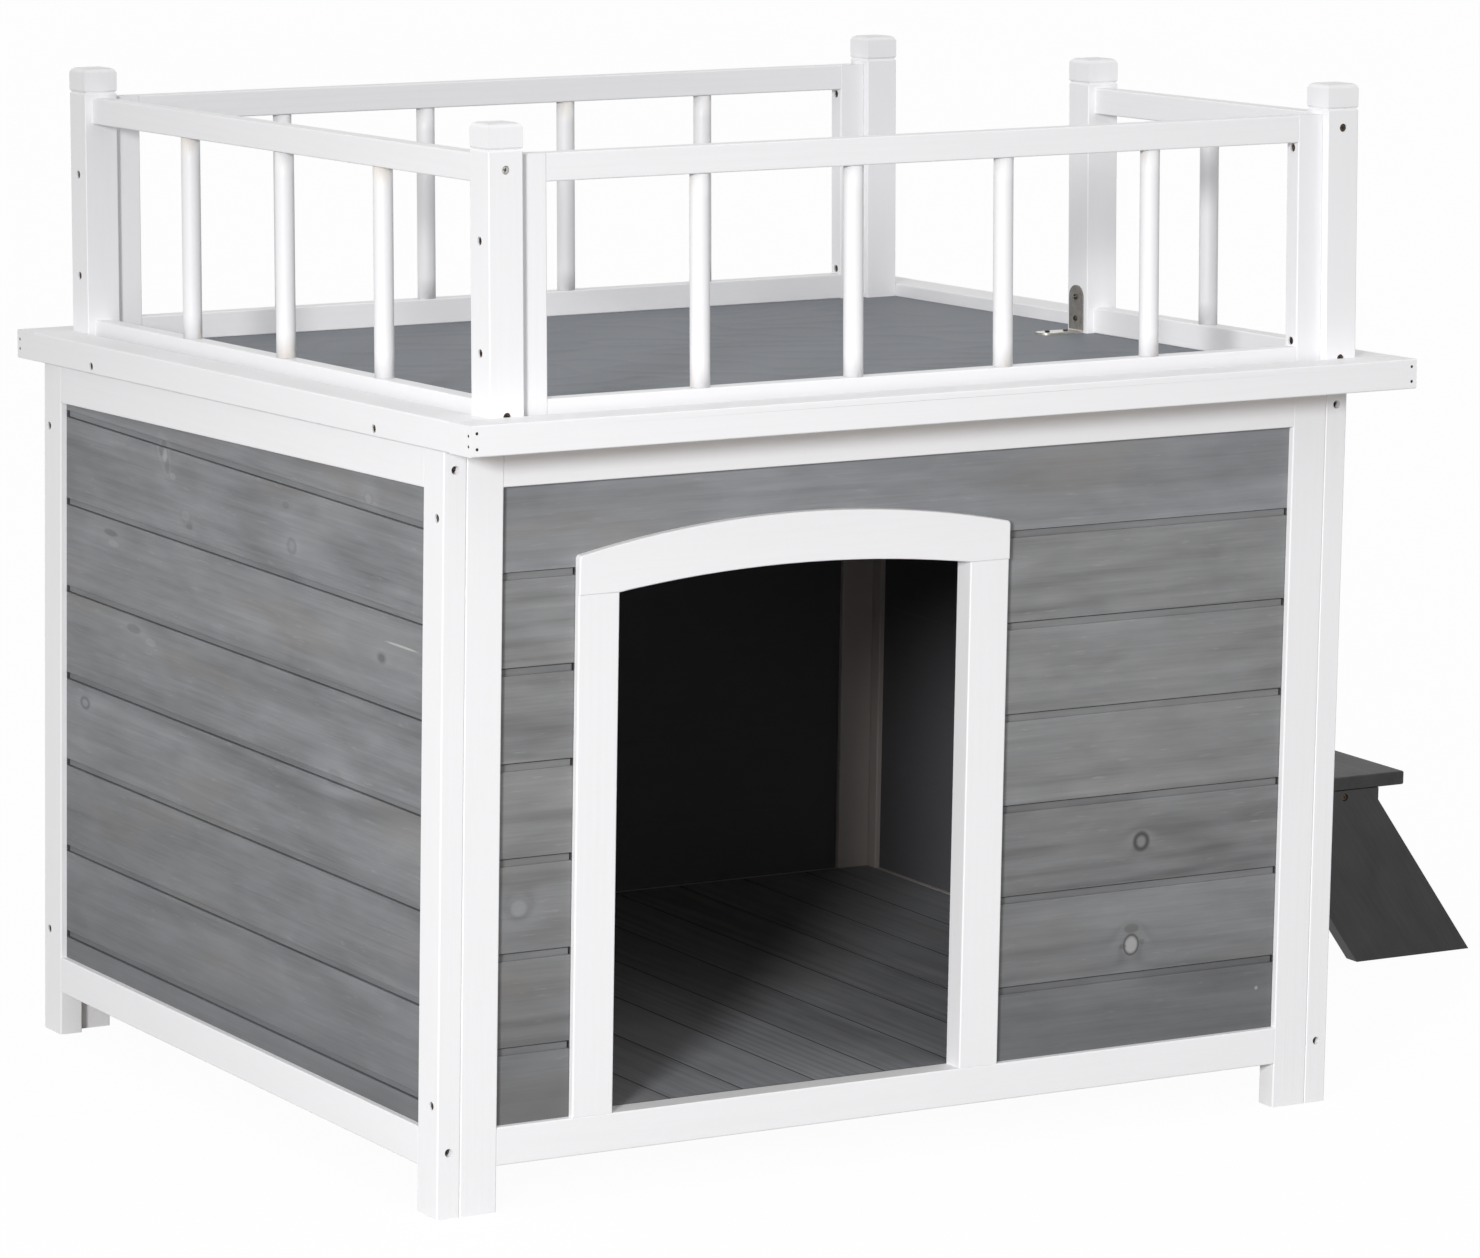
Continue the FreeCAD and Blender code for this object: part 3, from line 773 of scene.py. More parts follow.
def bridge(work: bmesh.types.BMesh, ring: list[bmesh.types.BMVert], after: list[bmesh.types.BMVert]) -> None:
    """Join two rings that have the same number of points by a band of faces."""
    for index in range(len(ring)):
        beside = (index + 1) % len(ring)
        work.faces.new((ring[index], ring[beside], after[beside], after[index]))


def mark(mesh: bpy.types.Mesh, name: str, level: Callable[[Vector], float]) -> None:
    """Store a number on every point of a mesh.

    Args:
        mesh: The mesh.
        name: The attribute's name.
        level: What gives the number of a place, or whether it is 1.
    """
    marked = mesh.attributes.new(name, "FLOAT", "POINT")
    marked.data.foreach_set("value", [float(level(vertex.co)) for vertex in mesh.vertices])


def circle(radius: float, z: float, sides: int) -> list[Vector]:
    """Points of a level circle round the z axis."""
    turns = [math.tau * index / sides for index in range(sides)]
    return [Vector((math.cos(turn) * radius, math.sin(turn) * radius, z)) for turn in turns]


def loft(name: str, sections: list[list[Vector]]) -> bpy.types.Mesh:
    """A closed solid through a row of outlines that have the same number of points.

    Args:
        name: The mesh's name.
        sections: The outlines, from one end to the other.

    Returns:
        The mesh, with its faces outward.
    """
    work = bmesh.new()
    rings = [[work.verts.new(point) for point in section] for section in sections]
    for ring, after in zip(rings, rings[1:]):
        bridge(work, ring, after)
    work.faces.new(rings[0][::-1])
    work.faces.new(rings[-1])
    bmesh.ops.remove_doubles(work, verts=work.verts, dist=TINY)
    bmesh.ops.dissolve_degenerate(work, edges=work.edges, dist=TINY)
    bmesh.ops.recalc_face_normals(work, faces=work.faces)
    return mesh_from(name, work)


def softened(
    corners: list[tuple[float, float]], radii: list[float], steps: int = 3
) -> list[tuple[float, float]]:
    """Round some corners of a closed outline.

    Args:
        corners: The outline.
        radii: How far each corner is rounded, 0 for a sharp one.
        steps: Runs that each rounded corner is made of.

    Returns:
        The outline with its corners rounded.
    """
    made = []
    for index, (corner, radius) in enumerate(zip(corners, radii)):
        here = Vector(corner)
        if radius <= 0:
            made.append(corner)
            continue
        before = here + (Vector(corners[index - 1]) - here).normalized() * radius
        after = here + (Vector(corners[(index + 1) % len(corners)]) - here).normalized() * radius
        for step in range(steps + 1):
            share = step / steps
            point = before * (1 - share) ** 2 + here * 2 * share * (1 - share) + after * share**2
            made.append((point.x, point.y))
    return made


# ---------------------------------------------------------------- Geometry Nodes
class Tree:
    """A Geometry Nodes tree with named inputs, used through modifiers."""

    def __init__(self, name: str) -> None:
        """Start an empty tree with its geometry sockets."""
        self.group = bpy.data.node_groups.new(name, "GeometryNodeTree")
        self.graph = Graph(self.group)
        for way in ("INPUT", "OUTPUT"):
            self.group.interface.new_socket("Geometry", in_out=way, socket_type="NodeSocketGeometry")
        self.identifiers: dict[str, str] = {}

    def inputs(self, **kinds: str) -> Made:
        """Add named inputs.

        Args:
            kinds: The kind of socket of each name.

        Returns:
            The tree's input node.
        """
        for name, kind in kinds.items():
            socket = self.group.interface.new_socket(name, in_out="INPUT", socket_type="NodeSocket" + kind)
            self.identifiers[name] = socket.identifier
        return self.graph.add("NodeGroupInput")

    def then(self, kind: str, solid: Value, **sockets: object) -> Value:
        """Pass the geometry through one more node.

        Args:
            kind: The node's type, without what all geometry nodes start with.
            solid: The geometry.
            sockets: Its other inputs.

        Returns:
            The new geometry.
        """
        return self.graph.add("GeometryNode" + kind, {}, {"Geometry": solid, **sockets})["Geometry"]

    def close(self, solid: Value, finish: Value) -> None:
        """Give the result its finish and join it to the tree's output."""
        self.graph.add("NodeGroupOutput", {}, {"Geometry": self.then("SetMaterial", solid, Material=finish)})

    def chance(self, seed: Value, most: float = 1.0) -> Value:
        """A number from 0 for each copy."""
        sockets = {"Min": 0.0, "Max": most, "Seed": seed}
        return self.graph.add("FunctionNodeRandomValue", {"data_type": "FLOAT"}, sockets)["Value"]

    def copies(self, points: Value, stock: Value, rotation: Value, spin: Value) -> Value:
        """Set a stock object on points.

        Args:
            points: The points.
            stock: The object.
            rotation: How each copy is turned.
            spin: How far each is then turned about its own z.

        Returns:
            The copies.
        """
        sockets = {"Rotation": rotation, "Rotate By": self.graph.combine(0.0, 0.0, spin)}
        settings = {"rotation_space": "LOCAL"}
        turned_copy = self.graph.add("FunctionNodeRotateRotation", settings, sockets)["Rotation"]
        shape = self.graph.add("GeometryNodeObjectInfo", {}, {"Object": stock})["Geometry"]
        sockets = {"Points": points, "Instance": shape, "Rotation": turned_copy}
        return self.graph.add("GeometryNodeInstanceOnPoints", {}, sockets)["Instances"]

    def run(self, name: str, base: bpy.types.Mesh | None = None, **values: object) -> bpy.types.Object:
        """Evaluate the tree into a plain mesh object.

        Args:
            name: The new piece's name.
            base: The mesh that the tree starts from, if it needs one.
            values: What each named input is set to.

        Returns:
            The piece, without a modifier.
        """
        carrier = new_object(name + "_carrier", base or bpy.data.meshes.new(name + "_base"))
        modifier = carrier.modifiers.new("tree", "NODES")
        modifier.node_group = self.group
        for key, content in values.items():
            modifier[self.identifiers[key]] = content
        depsgraph = bpy.context.evaluated_depsgraph_get()
        mesh = bpy.data.meshes.new_from_object(carrier.evaluated_get(depsgraph), depsgraph=depsgraph)
        mesh.name = name
        carrier.modifiers.remove(modifier)
        bpy.data.objects.remove(carrier)
        return new_object(name, mesh)

    def lay(
        self, name: str, slot: str, node: str, stock: bpy.types.Object, finish: Finish, **values: object
    ) -> None:
        """Make a piece from copies of a stock object.

        Args:
            name: The piece's name.
            slot: The record's material slot, which is not used.
            node: The CAD node that it stands for.
            stock: The object, which is removed.
            finish: The finish.
            values: The base mesh and what the other inputs are set to.
        """
        piece = self.run(name, stock=stock, finish=finish.material(), **values)
        bpy.data.objects.remove(stock)
        settle(piece, slot, node)


class RowTree(Tree):
    """Repeats a stock piece along a line, trims it between two levels and varies each copy."""

    nearest_heart: ClassVar[float] = 0.25
    untrimmed: ClassVar[dict[str, float]] = {"low": 0.0, "high": 9.0, "fall": 0.0, "spin": 0.0}

    def __init__(self) -> None:
        """Build the tree."""
        super().__init__("stock_row")
        graph = self.graph
        given = self.inputs(
            stock="Object", count="Int", start="Vector", step="Vector", turn="Vector", across="Vector",
            spread="Float", low="Float", high="Float", fall="Float", spin="Float", seed="Int",
            finish="Material",
        )
        sockets = {"Count": given["count"], "Start Location": given["start"], "Offset": given["step"]}
        line = graph.add("GeometryNodeMeshLine", {"mode": "OFFSET", "count_mode": "TOTAL"}, sockets)["Mesh"]
        chances = [self.chance(given["seed"] + shift * SEED_STEP) for shift in (1, 2, 3)]
        copies = self.copies(line, given["stock"], given["turn"], chances[2] * given["spin"])
        place = graph.add("GeometryNodeInputPosition")["Position"]
        middle = graph.vector_math("DOT_PRODUCT", place, given["across"], "Value")
        copies = self.store(copies, "plank", chances[1])
        copies = self.store(copies, "heart", middle + (chances[0] + self.nearest_heart) * given["spread"])
        solid = self.then("RealizeInstances", copies)
        split = graph.axes(place)
        ceiling = given["high"] - split["Y"] * given["fall"]
        level = graph.math("MAXIMUM", graph.math("MINIMUM", split["Z"], ceiling), given["low"])
        solid = self.then("SetPosition", solid, Position=graph.combine(split["X"], split["Y"], level))
        self.close(self.then("MergeByDistance", solid, Distance=TINY), given["finish"])

    def lay(self, *stated: object, **values: object) -> None:
        """Make a piece as every tree does, neither trimmed nor spun where the values don't say so."""
        super().lay(*stated, **(self.untrimmed | values))

    def store(self, copies: Value, name: str, value: Value) -> Value:
        """Keep a number with each copy."""
        settings = {"data_type": "FLOAT", "domain": "INSTANCE"}
        sockets = {"Geometry": copies, "Name": name, "Value": value}
        return self.graph.add("GeometryNodeStoreNamedAttribute", settings, sockets)["Geometry"]


class DrivenTree(Tree):
    """Sets a stock fastener on every point of a mesh, aimed along the point's own direction."""

    def __init__(self) -> None:
        """Build the tree."""
        super().__init__("driven_fasteners")
        graph = self.graph
        given = self.inputs(stock="Object", seed="Int", finish="Material")
        sockets = {"Mesh": given["Geometry"]}
        points = graph.add("GeometryNodeMeshToPoints", {"mode": "VERTICES"}, sockets)["Points"]
        settings = {"data_type": "FLOAT_VECTOR"}
        aim = graph.add("GeometryNodeInputNamedAttribute", settings, {"Name": "aim"})["Attribute"]
        pointed = graph.add("FunctionNodeAlignRotationToVector", {"axis": "Z"}, {"Vector": aim})["Rotation"]
        copies = self.copies(points, given["stock"], pointed, self.chance(given["seed"], math.tau))
        self.close(self.then("RealizeInstances", copies), given["finish"])


# ---------------------------------------------------------------- dressing
def dress(finish: Finish, *nodes: str) -> None:
    """Give CAD nodes a finish.

    Args:
        finish: The finish.
        nodes: The nodes' names.
    """
    for name in nodes:
        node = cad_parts[name]
        if not node.data.materials:
            node.data.materials.append(None)
        for slot in node.material_slots:
            slot.material = finish.material()
        crisp(node)
        LOG.info("dressed %s in %s", name, finish.name)


def crisp(node: bpy.types.Object, sharp: float = math.radians(32)) -> None:
    """Shade a CAD node face by face where its edges turn far, with its shape left as it is.

    Args:
        node: The CAD node.
        sharp: The turn from which an edge shows as sharp.
    """
    node.modifiers.new("weld", "WELD").merge_threshold = TINY
    node.modifiers.new("split", "EDGE_SPLIT").split_angle = sharp
    weighted = node.modifiers.new("weighted", "WEIGHTED_NORMAL")
    weighted.weight = 100
    weighted.thresh = 0.0001


def settle(piece: bpy.types.Object, slot: str, *nodes: str) -> None:
    """Let a new piece ride on the house and stand for CAD nodes.

    Args:
        piece: The piece.
        slot: The record's material slot, which is not used.
        nodes: The nodes that it stands for.
    """
    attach(piece, "root")
    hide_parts(*nodes)
    LOG.info("made %s with %d faces for %s", piece.name, len(piece.data.polygons), ", ".join(nodes))


class Lip(Enum):
    """Which edge of a board has the set-back lip."""

    TOP = "top"
    BOTTOM = "bottom"
    NONE = "none"


@dataclass(frozen=True)
class BoardStock:
    """One board to be repeated, its length along x, its face at y 0 and its foot at z 0."""

    length: float
    height: float
    thickness: float
    lip: Lip = Lip.NONE
    eased: float = 0.0011
    gap_shade_share: float = 0.7
    lip_height: float = 0.0075
    lip_depth: float = 0.0028
    crack: float = 0.0010
    crack_depth: float = 0.0022
    pit: float = 0.0017
    pit_wall: float = 0.0002
    pit_depth: float = 0.0055
    clearance: float = 0.0001

    def outline(self, lip_depth: float) -> list[tuple[float, float]]:
        """The cross-section as depth and height, for a depth of the set-back lip."""
        top = self.height - self.clearance
        crack = self.crack if lip_depth else 0.0
        tongue, thick = self.lip_depth + self.crack_depth, self.thickness
        if self.lip is Lip.NONE:
            corners = [(0.0, 0.0), (0.0, top), (thick, top), (thick, 0.0)]
            return softened(corners, [self.eased, self.eased, 0.0, 0.0])
        if self.lip is Lip.TOP:
            step, edge = top - self.lip_height, top - crack
            corners = [(0.0, 0.0), (0.0, step), (lip_depth, step), (lip_depth, edge)]
            corners += [(tongue, edge), (tongue, top), (thick, top), (thick, 0.0)]
            return softened(corners, [self.eased, self.eased] + [0.0] * 6)
        corners = [(lip_depth, crack), (lip_depth, self.lip_height), (0.0, self.lip_height), (0.0, top)]
        corners += [(thick, top), (thick, 0.0), (tongue, 0.0), (tongue, crack)]
        return softened(corners, [0.0, 0.0, self.eased, self.eased] + [0.0] * 4)

    def stock(self) -> bpy.types.Object:
        """The board as a hidden object for a row to repeat, with small pits at the ends of its lip."""
        ends = [(0.0, 0.0), (self.pit_wall, 0.0), (self.pit_wall, self.pit_depth)]
        ends += [(self.pit, self.pit_depth), (self.pit, self.lip_depth)]
        if self.lip is Lip.NONE:
            ends = [(0.0, 0.0), (self.pit_wall, 0.0), (self.pit, 0.0)]
        places = ends + [(self.length - place, depth) for place, depth in reversed(ends)]
        sections = [
            [Vector((place, depth, height)) for depth, height in self.outline(lip_depth)]
            for place, lip_depth in places
        ]
        mesh = loft("board_stock", sections)
        # These marks tell the stain where it paints shade: on the inner faces, in the set-back lip band, in the
        # pits and the gaps between lipless boards, and at the board ends.
        mark(mesh, "inner", lambda place: place.y > self.thickness - TINY)
        mark(mesh, "lip", lambda place: self.lip_depth - TINY < place.y < self.thickness - TINY)
        mark(mesh, "gap_shade", self.in_gap)
        seam = self.length / 2 - self.pit_wall - TINY
        mark(mesh, "seam", lambda place: abs(place.x - self.length / 2) > seam)
        return new_object("board_stock", mesh)

    def in_gap(self, place: Vector) -> bool:
        """Whether a point lies in a pit, or on the eased edge of a board that has no lip."""
        if self.lip is Lip.NONE:
            return abs(place.z - self.height / 2) > self.height / 2 - self.eased * self.gap_shade_share
        return abs(place.y - self.pit_depth) < TINY


def turned(along: tuple, inward: tuple, upward: tuple) -> tuple[float, float, float]:
    """The Euler angles that turn a stock's own axes into three given directions."""
    return tuple(Matrix((along, inward, upward)).transposed().to_euler())


class Face(Enum):
    """Directions of a wall: along its boards, inward, and up the rows."""

    FRONT = ((1, 0, 0), (0, 1, 0), (0, 0, 1))
    BACK = ((-1, 0, 0), (0, -1, 0), (0, 0, 1))
    LEFT = ((0, -1, 0), (1, 0, 0), (0, 0, 1))
    RIGHT = ((0, 1, 0), (-1, 0, 0), (0, 0, 1))
    FLOOR = ((0, -1, 0), (0, 0, -1), (1, 0, 0))


@dataclass(frozen=True)
class BoardRows:
    """Boards one above the other between two stiles.

    Args:
        name: The piece's name.
        node: The CAD node that it stands for.
        face: The wall that it is on.
        start: Lower end of the lowest row, in house coordinates.
        length: Length of the boards.
        count: Number of rows.
        high: Height of the ceiling at the front face.
        finish: The finish.
        seed: Seed of the boards' variation.
        lip: Which edge of the boards has the set-back lip.
        fall: How much lower the ceiling is for each metre back.
        thickness: Thickness of the boards.
        pitch: Height of a row.
        low: Height that nothing reaches below.
        slot: The record's material slot.
    """

    name: str
    node: str
    face: Face
    start: tuple[float, float, float]
    length: float
    count: int
    high: float
    finish: Finish
    seed: int
    lip: Lip = Lip.TOP
    fall: float = 0.0
    thickness: float = 0.012
    pitch: float = HOUSE.pitch
    low: float = HOUSE.rail_top
    slot: str = "grey_stain"

    def build(self, rows: RowTree) -> None:
        """Make the boards.

        Args:
            rows: The tree that repeats the stock.
        """
        upward = Vector(self.face.value[2])
        rows.lay(
            self.name, self.slot, self.node,
            BoardStock(self.length, self.pitch, self.thickness, self.lip).stock(), self.finish,
            count=self.count, start=tuple(HOUSE.spot(*self.start)), step=tuple(upward * self.pitch),
            turn=turned(*self.face.value), across=tuple(upward), spread=self.pitch,
            low=self.low, high=self.high + HOUSE.corner[1] * self.fall, fall=self.fall, seed=self.seed,
        )


# ---------------------------------------------------------------- sub-assemblies
def placed(shift: float, *marks: Knot) -> tuple[Knot, ...]:
    """Marks moved along the fibres from house coordinates into the frame."""
    return tuple(replace(mark, along=mark.along + shift) for mark in marks)


@dataclass(frozen=True)
class Walls:
    """The four framed walls and their boards."""

    tan: float = math.tan(HOUSE.slope)
    top_trim: float = HOUSE.rail / math.cos(HOUSE.slope)
    back_height: float = HOUSE.eaves
    short_rows: int = 6
    back_rows: int = 7
    side_rows: int = 8

    @staticmethod
    def front_marks() -> tuple[Knot, ...]:
        """Knots and scars of the front boards, by x and height."""
        return placed(
            HOUSE.corner[0],
            Knot(0.808, 0.294, 0.0078, 0.06, 1.0, 0.60, 0.95, 0.08),
            Knot(0.799, 0.188, 0.0105, 0.52, 0.80, 0.20, 0.85),
            Knot(0.799, 0.205, 0.0062, -0.42, 0.0, 0.2, 1.8),
            Knot(0.789, 0.187, 0.0034, -0.36, 0.0, 0.2, 1.6),
            Knot(0.812, 0.190, 0.0034, -0.28, 0.0, 0.2, 1.4),
            Knot(0.955, 0.127, 0.0024, 0.50, 0.0),
            Knot(0.090, 0.296, 0.0100, 0.04, 0.16, 0.35, 1.1, 0.22),
        )

    @staticmethod
    def left_marks() -> tuple[Knot, ...]:
        """Knots and scars of the left wall, by y and height."""
        return placed(
            HOUSE.corner[1],
            Knot(0.616, 0.662, 0.0110, -0.30, 0.0, 0.3, 0.70, 0.22),
            Knot(0.603, 0.645, 0.0100, -0.26, 0.0, 0.3, 0.65, 0.22),
            Knot(0.608, 0.655, 0.0075, 0.34, 0.0, 0.3, 0.80),
            Knot(0.590, 0.636, 0.0045, 0.24, 0.0, 0.3, 1.80),
            Knot(0.560, 0.600, 0.0065, 0.18, 0.0, 0.3, 1.90, 0.16),
            Knot(0.552, 0.590, 0.0036, -0.26, 0.0, 0.3, 2.60),
            Knot(0.735, 0.556, 0.0044, -0.42, 0.0, 0.3, 4.5, 0.26),
            Knot(0.728, 0.546, 0.0042, 0.24, 0.0, 0.3, 3.6),
            Knot(0.135, 0.525, 0.0048, -0.52, 0.20, 0.5, 1.7, 0.24),
            Knot(0.339, 0.644, 0.0044, -0.30, 0.0, 0.3, 2.0, 0.24),
            Knot(0.325, 0.605, 0.0068, -0.12, 0.24, 0.5, 1.2, 0.28),
            Knot(0.165, 0.676, 0.0060, 0.18, 0.12, 0.5, 1.4, 0.20),
            Knot(0.796, 0.366, 0.0056, 0.0, 0.50, 0.5, 1.7, 0.16),
            Knot(0.680, 0.464, 0.0060, -0.36, 0.0, 0.3, 3.4, 0.22),
            Knot(0.640, 0.456, 0.0056, 0.20, 0.0, 0.3, 2.8, 0.20),
            Knot(0.094, 0.543, 0.0014, 0.85, 0.0, 0.3, 28.0, 0.10),
            Knot(0.230, 0.392, 0.0085, -0.14, 0.0, 0.3, 2.2, 0.18),
        )

    def boards(self) -> list[BoardRows]:
        """The rows of every wall."""
        inside = HOUSE.frame_thickness + HOUSE.stile
        full_run = HOUSE.width - 2 * inside
        start = HOUSE.front_line - HOUSE.pitch
        side_start = HOUSE.side_line - BoardStock.lip_height - HOUSE.pitch
        over_door = HOUSE.front_line + (self.short_rows - 1) * HOUSE.pitch
        front = GreyStain(
            "grey_stain_front", Timber(Grain.FRONT, knots=self.front_marks()),
            shade(93, 93, 94), shade(147, 148, 149), lift=-0.08, streaks=0.40, rings=0.26,
        )
        side = {
            "length": HOUSE.depth - 2 * HOUSE.stile, "count": self.side_rows,
            "high": HOUSE.front_height - self.top_trim, "lip": Lip.BOTTOM, "fall": self.tan,
        }
        return [
            BoardRows(
                "front_left_planks", "front_wall_left_boards", Face.FRONT, (inside, HOUSE.recess, start),
                HOUSE.door_left - inside, self.short_rows, over_door, front, seed=11,
            ),
            BoardRows(
                "front_right_planks", "front_wall_right_boards", Face.FRONT,
                (HOUSE.door_right, HOUSE.recess, start),
                HOUSE.width - inside - HOUSE.door_right, self.short_rows, over_door, front, seed=12,
            ),
            BoardRows(
                "back_planks", "back_wall_boards", Face.BACK,
                (HOUSE.width - inside, HOUSE.depth - HOUSE.recess, start), full_run, self.back_rows,
                self.back_height - HOUSE.rail, GreyStain("grey_stain_back", Timber(Grain.FRONT)), seed=13,
            ),
            BoardRows(
                "left_planks", "left_wall_boards", Face.LEFT,
                (HOUSE.recess, HOUSE.depth - HOUSE.stile, side_start), seed=14, **side,
                finish=GreyStain("grey_stain_left", Timber(Grain.SIDE, knots=self.left_marks())),
            ),
            BoardRows(
                "right_planks", "right_wall_boards", Face.RIGHT,
                (HOUSE.width - HOUSE.recess, HOUSE.stile, side_start),
                finish=GreyStain("grey_stain_right", Timber(Grain.SIDE)), seed=15, **side,
            ),
        ]

    def build(self, rows: RowTree) -> None:
        """Make the boards of every wall."""
        for board_rows in self.boards():
            board_rows.build(rows)

    def dress(self) -> None:
        """Paint the frames and stain the board over the doorway."""
        for wall, grain in SIDES.items():
            ends = ("left", "right") if grain is Grain.FRONT else ("front", "back")
            dress(white(grain), f"{wall}_wall_bottom_rail", f"{wall}_wall_top_rail")
            dress(white(Grain.UPRIGHT), *(f"{wall}_wall_{end}_stile" for end in ends))
        dress(white(Grain.UPRIGHT), "door_left_jamb", "door_right_jamb")
        dress(white(Grain.FRONT), "door_header")
        timber = Timber(Grain.FRONT, heart=0.69)
        stain = GreyStain("grey_stain_over_door", timber, lift=0.29, streaks=0.35, rings=0.22)
        dress(stain, "front_wall_top_board")


@dataclass(frozen=True)
class CabinFloor:
    """Planks from front to back and the battens under them."""

    count: int = 12

    def build(self, rows: RowTree) -> None:
        """Make the planks."""
        inside = HOUSE.frame_thickness
        width = (HOUSE.width - 2 * inside) / self.count
        stain = GreyStain(
            "floor_stain", Timber(Grain.FLOOR),
            # The floor's colour for the darkening towards the bottom is lighter, as the floor lies low.
            light=shade(172, 174, 178), bottom_dark_and_lip_shade=shade(122, 124, 128), streaks=0.9,
        )
        BoardRows(
            "floor_planks", "floor_boards", Face.FLOOR, (inside, HOUSE.depth - inside, HOUSE.rail_top),
            HOUSE.depth - 2 * inside, self.count, high=1.0, finish=stain, seed=21, lip=Lip.NONE,
            pitch=width, low=0.0, slot="floor_stain",
        ).build(rows)

    def dress(self) -> None:
        """Leave the battens plain."""
        dress(raw_wood(), "floor_battens")


@dataclass(frozen=True)
class Roof:
    """The roof frame and the deck with its sheet."""

    cells_across: int = 166
    cells_deep: int = 152
    calm_edge: float = 0.055
    swell: float = 0.0015
    broad_scale: tuple[float, float] = (7.0, 5.0)
    broad_cut: float = 1.7
    ridge_scale: tuple[float, float] = (11.0, 16.0)
    ridge_cut: float = 4.1
    ridge_width: float = 2.4

    def sheet_height(self, x: float, s: float) -> float:
        """Height of the sheet at a place on the roof."""
        inside = min(x - HOUSE.deck_left, HOUSE.deck_right - x, s - HOUSE.deck_front, HOUSE.deck_back - s)
        calm = min(1.0, max(0.0, (inside - self.calm_edge) / self.calm_edge))
        across, down = self.broad_scale
        broad = noise.noise(Vector((x * across, s * down, self.broad_cut)))
        across, down = self.ridge_scale
        fold = noise.noise(Vector((x * across + broad, s * down - broad, self.ridge_cut)))
        ridge = 1.0 - abs(fold) * self.ridge_width
        return HOUSE.cover_high + calm * self.swell * (broad + max(0.0, ridge) ** 3)

    def build(self) -> None:
        """Make the deck's sheet, which has faint wrinkles."""
        work = bmesh.new()
        top = []
        for row in range(self.cells_deep + 1):
            s = HOUSE.deck_front + (HOUSE.deck_back - HOUSE.deck_front) * row / self.cells_deep
            line = []
            for column in range(self.cells_across + 1):
                x = HOUSE.deck_left + (HOUSE.deck_right - HOUSE.deck_left) * column / self.cells_across
                line.append(work.verts.new((x, s, self.sheet_height(x, s))))
            top.append(line)
        for row, after in zip(top, top[1:]):
            for index in range(self.cells_across):
                work.faces.new((row[index], row[index + 1], after[index + 1], after[index]))
        rim = top[0] + [line[-1] for line in top[1:]] + top[-1][-2::-1] + [line[0] for line in top[-2:0:-1]]
        under = [work.verts.new((vertex.co.x, vertex.co.y, HOUSE.cover_low)) for vertex in rim]
        bridge(work, under, rim)
        work.faces.new(under[::-1])
        work.transform(HOUSE.roof())
        mesh = mesh_from("deck_sheet", work)
        mesh.polygons.foreach_set("use_smooth", [len(face.vertices) == 4 for face in mesh.polygons])
        mesh.materials.append(DeckSheet("deck_sheet").material())
        settle(new_object("deck_sheet", mesh), "deck_cover", "deck_cover")

    def dress(self) -> None:
        """Paint the roof frame and leave the timber under it plain."""
        for side, grain in SIDES.items():
            dress(white(grain), f"roof_{side}_board")
        dress(raw_wood(), "deck_board", "deck_joists")


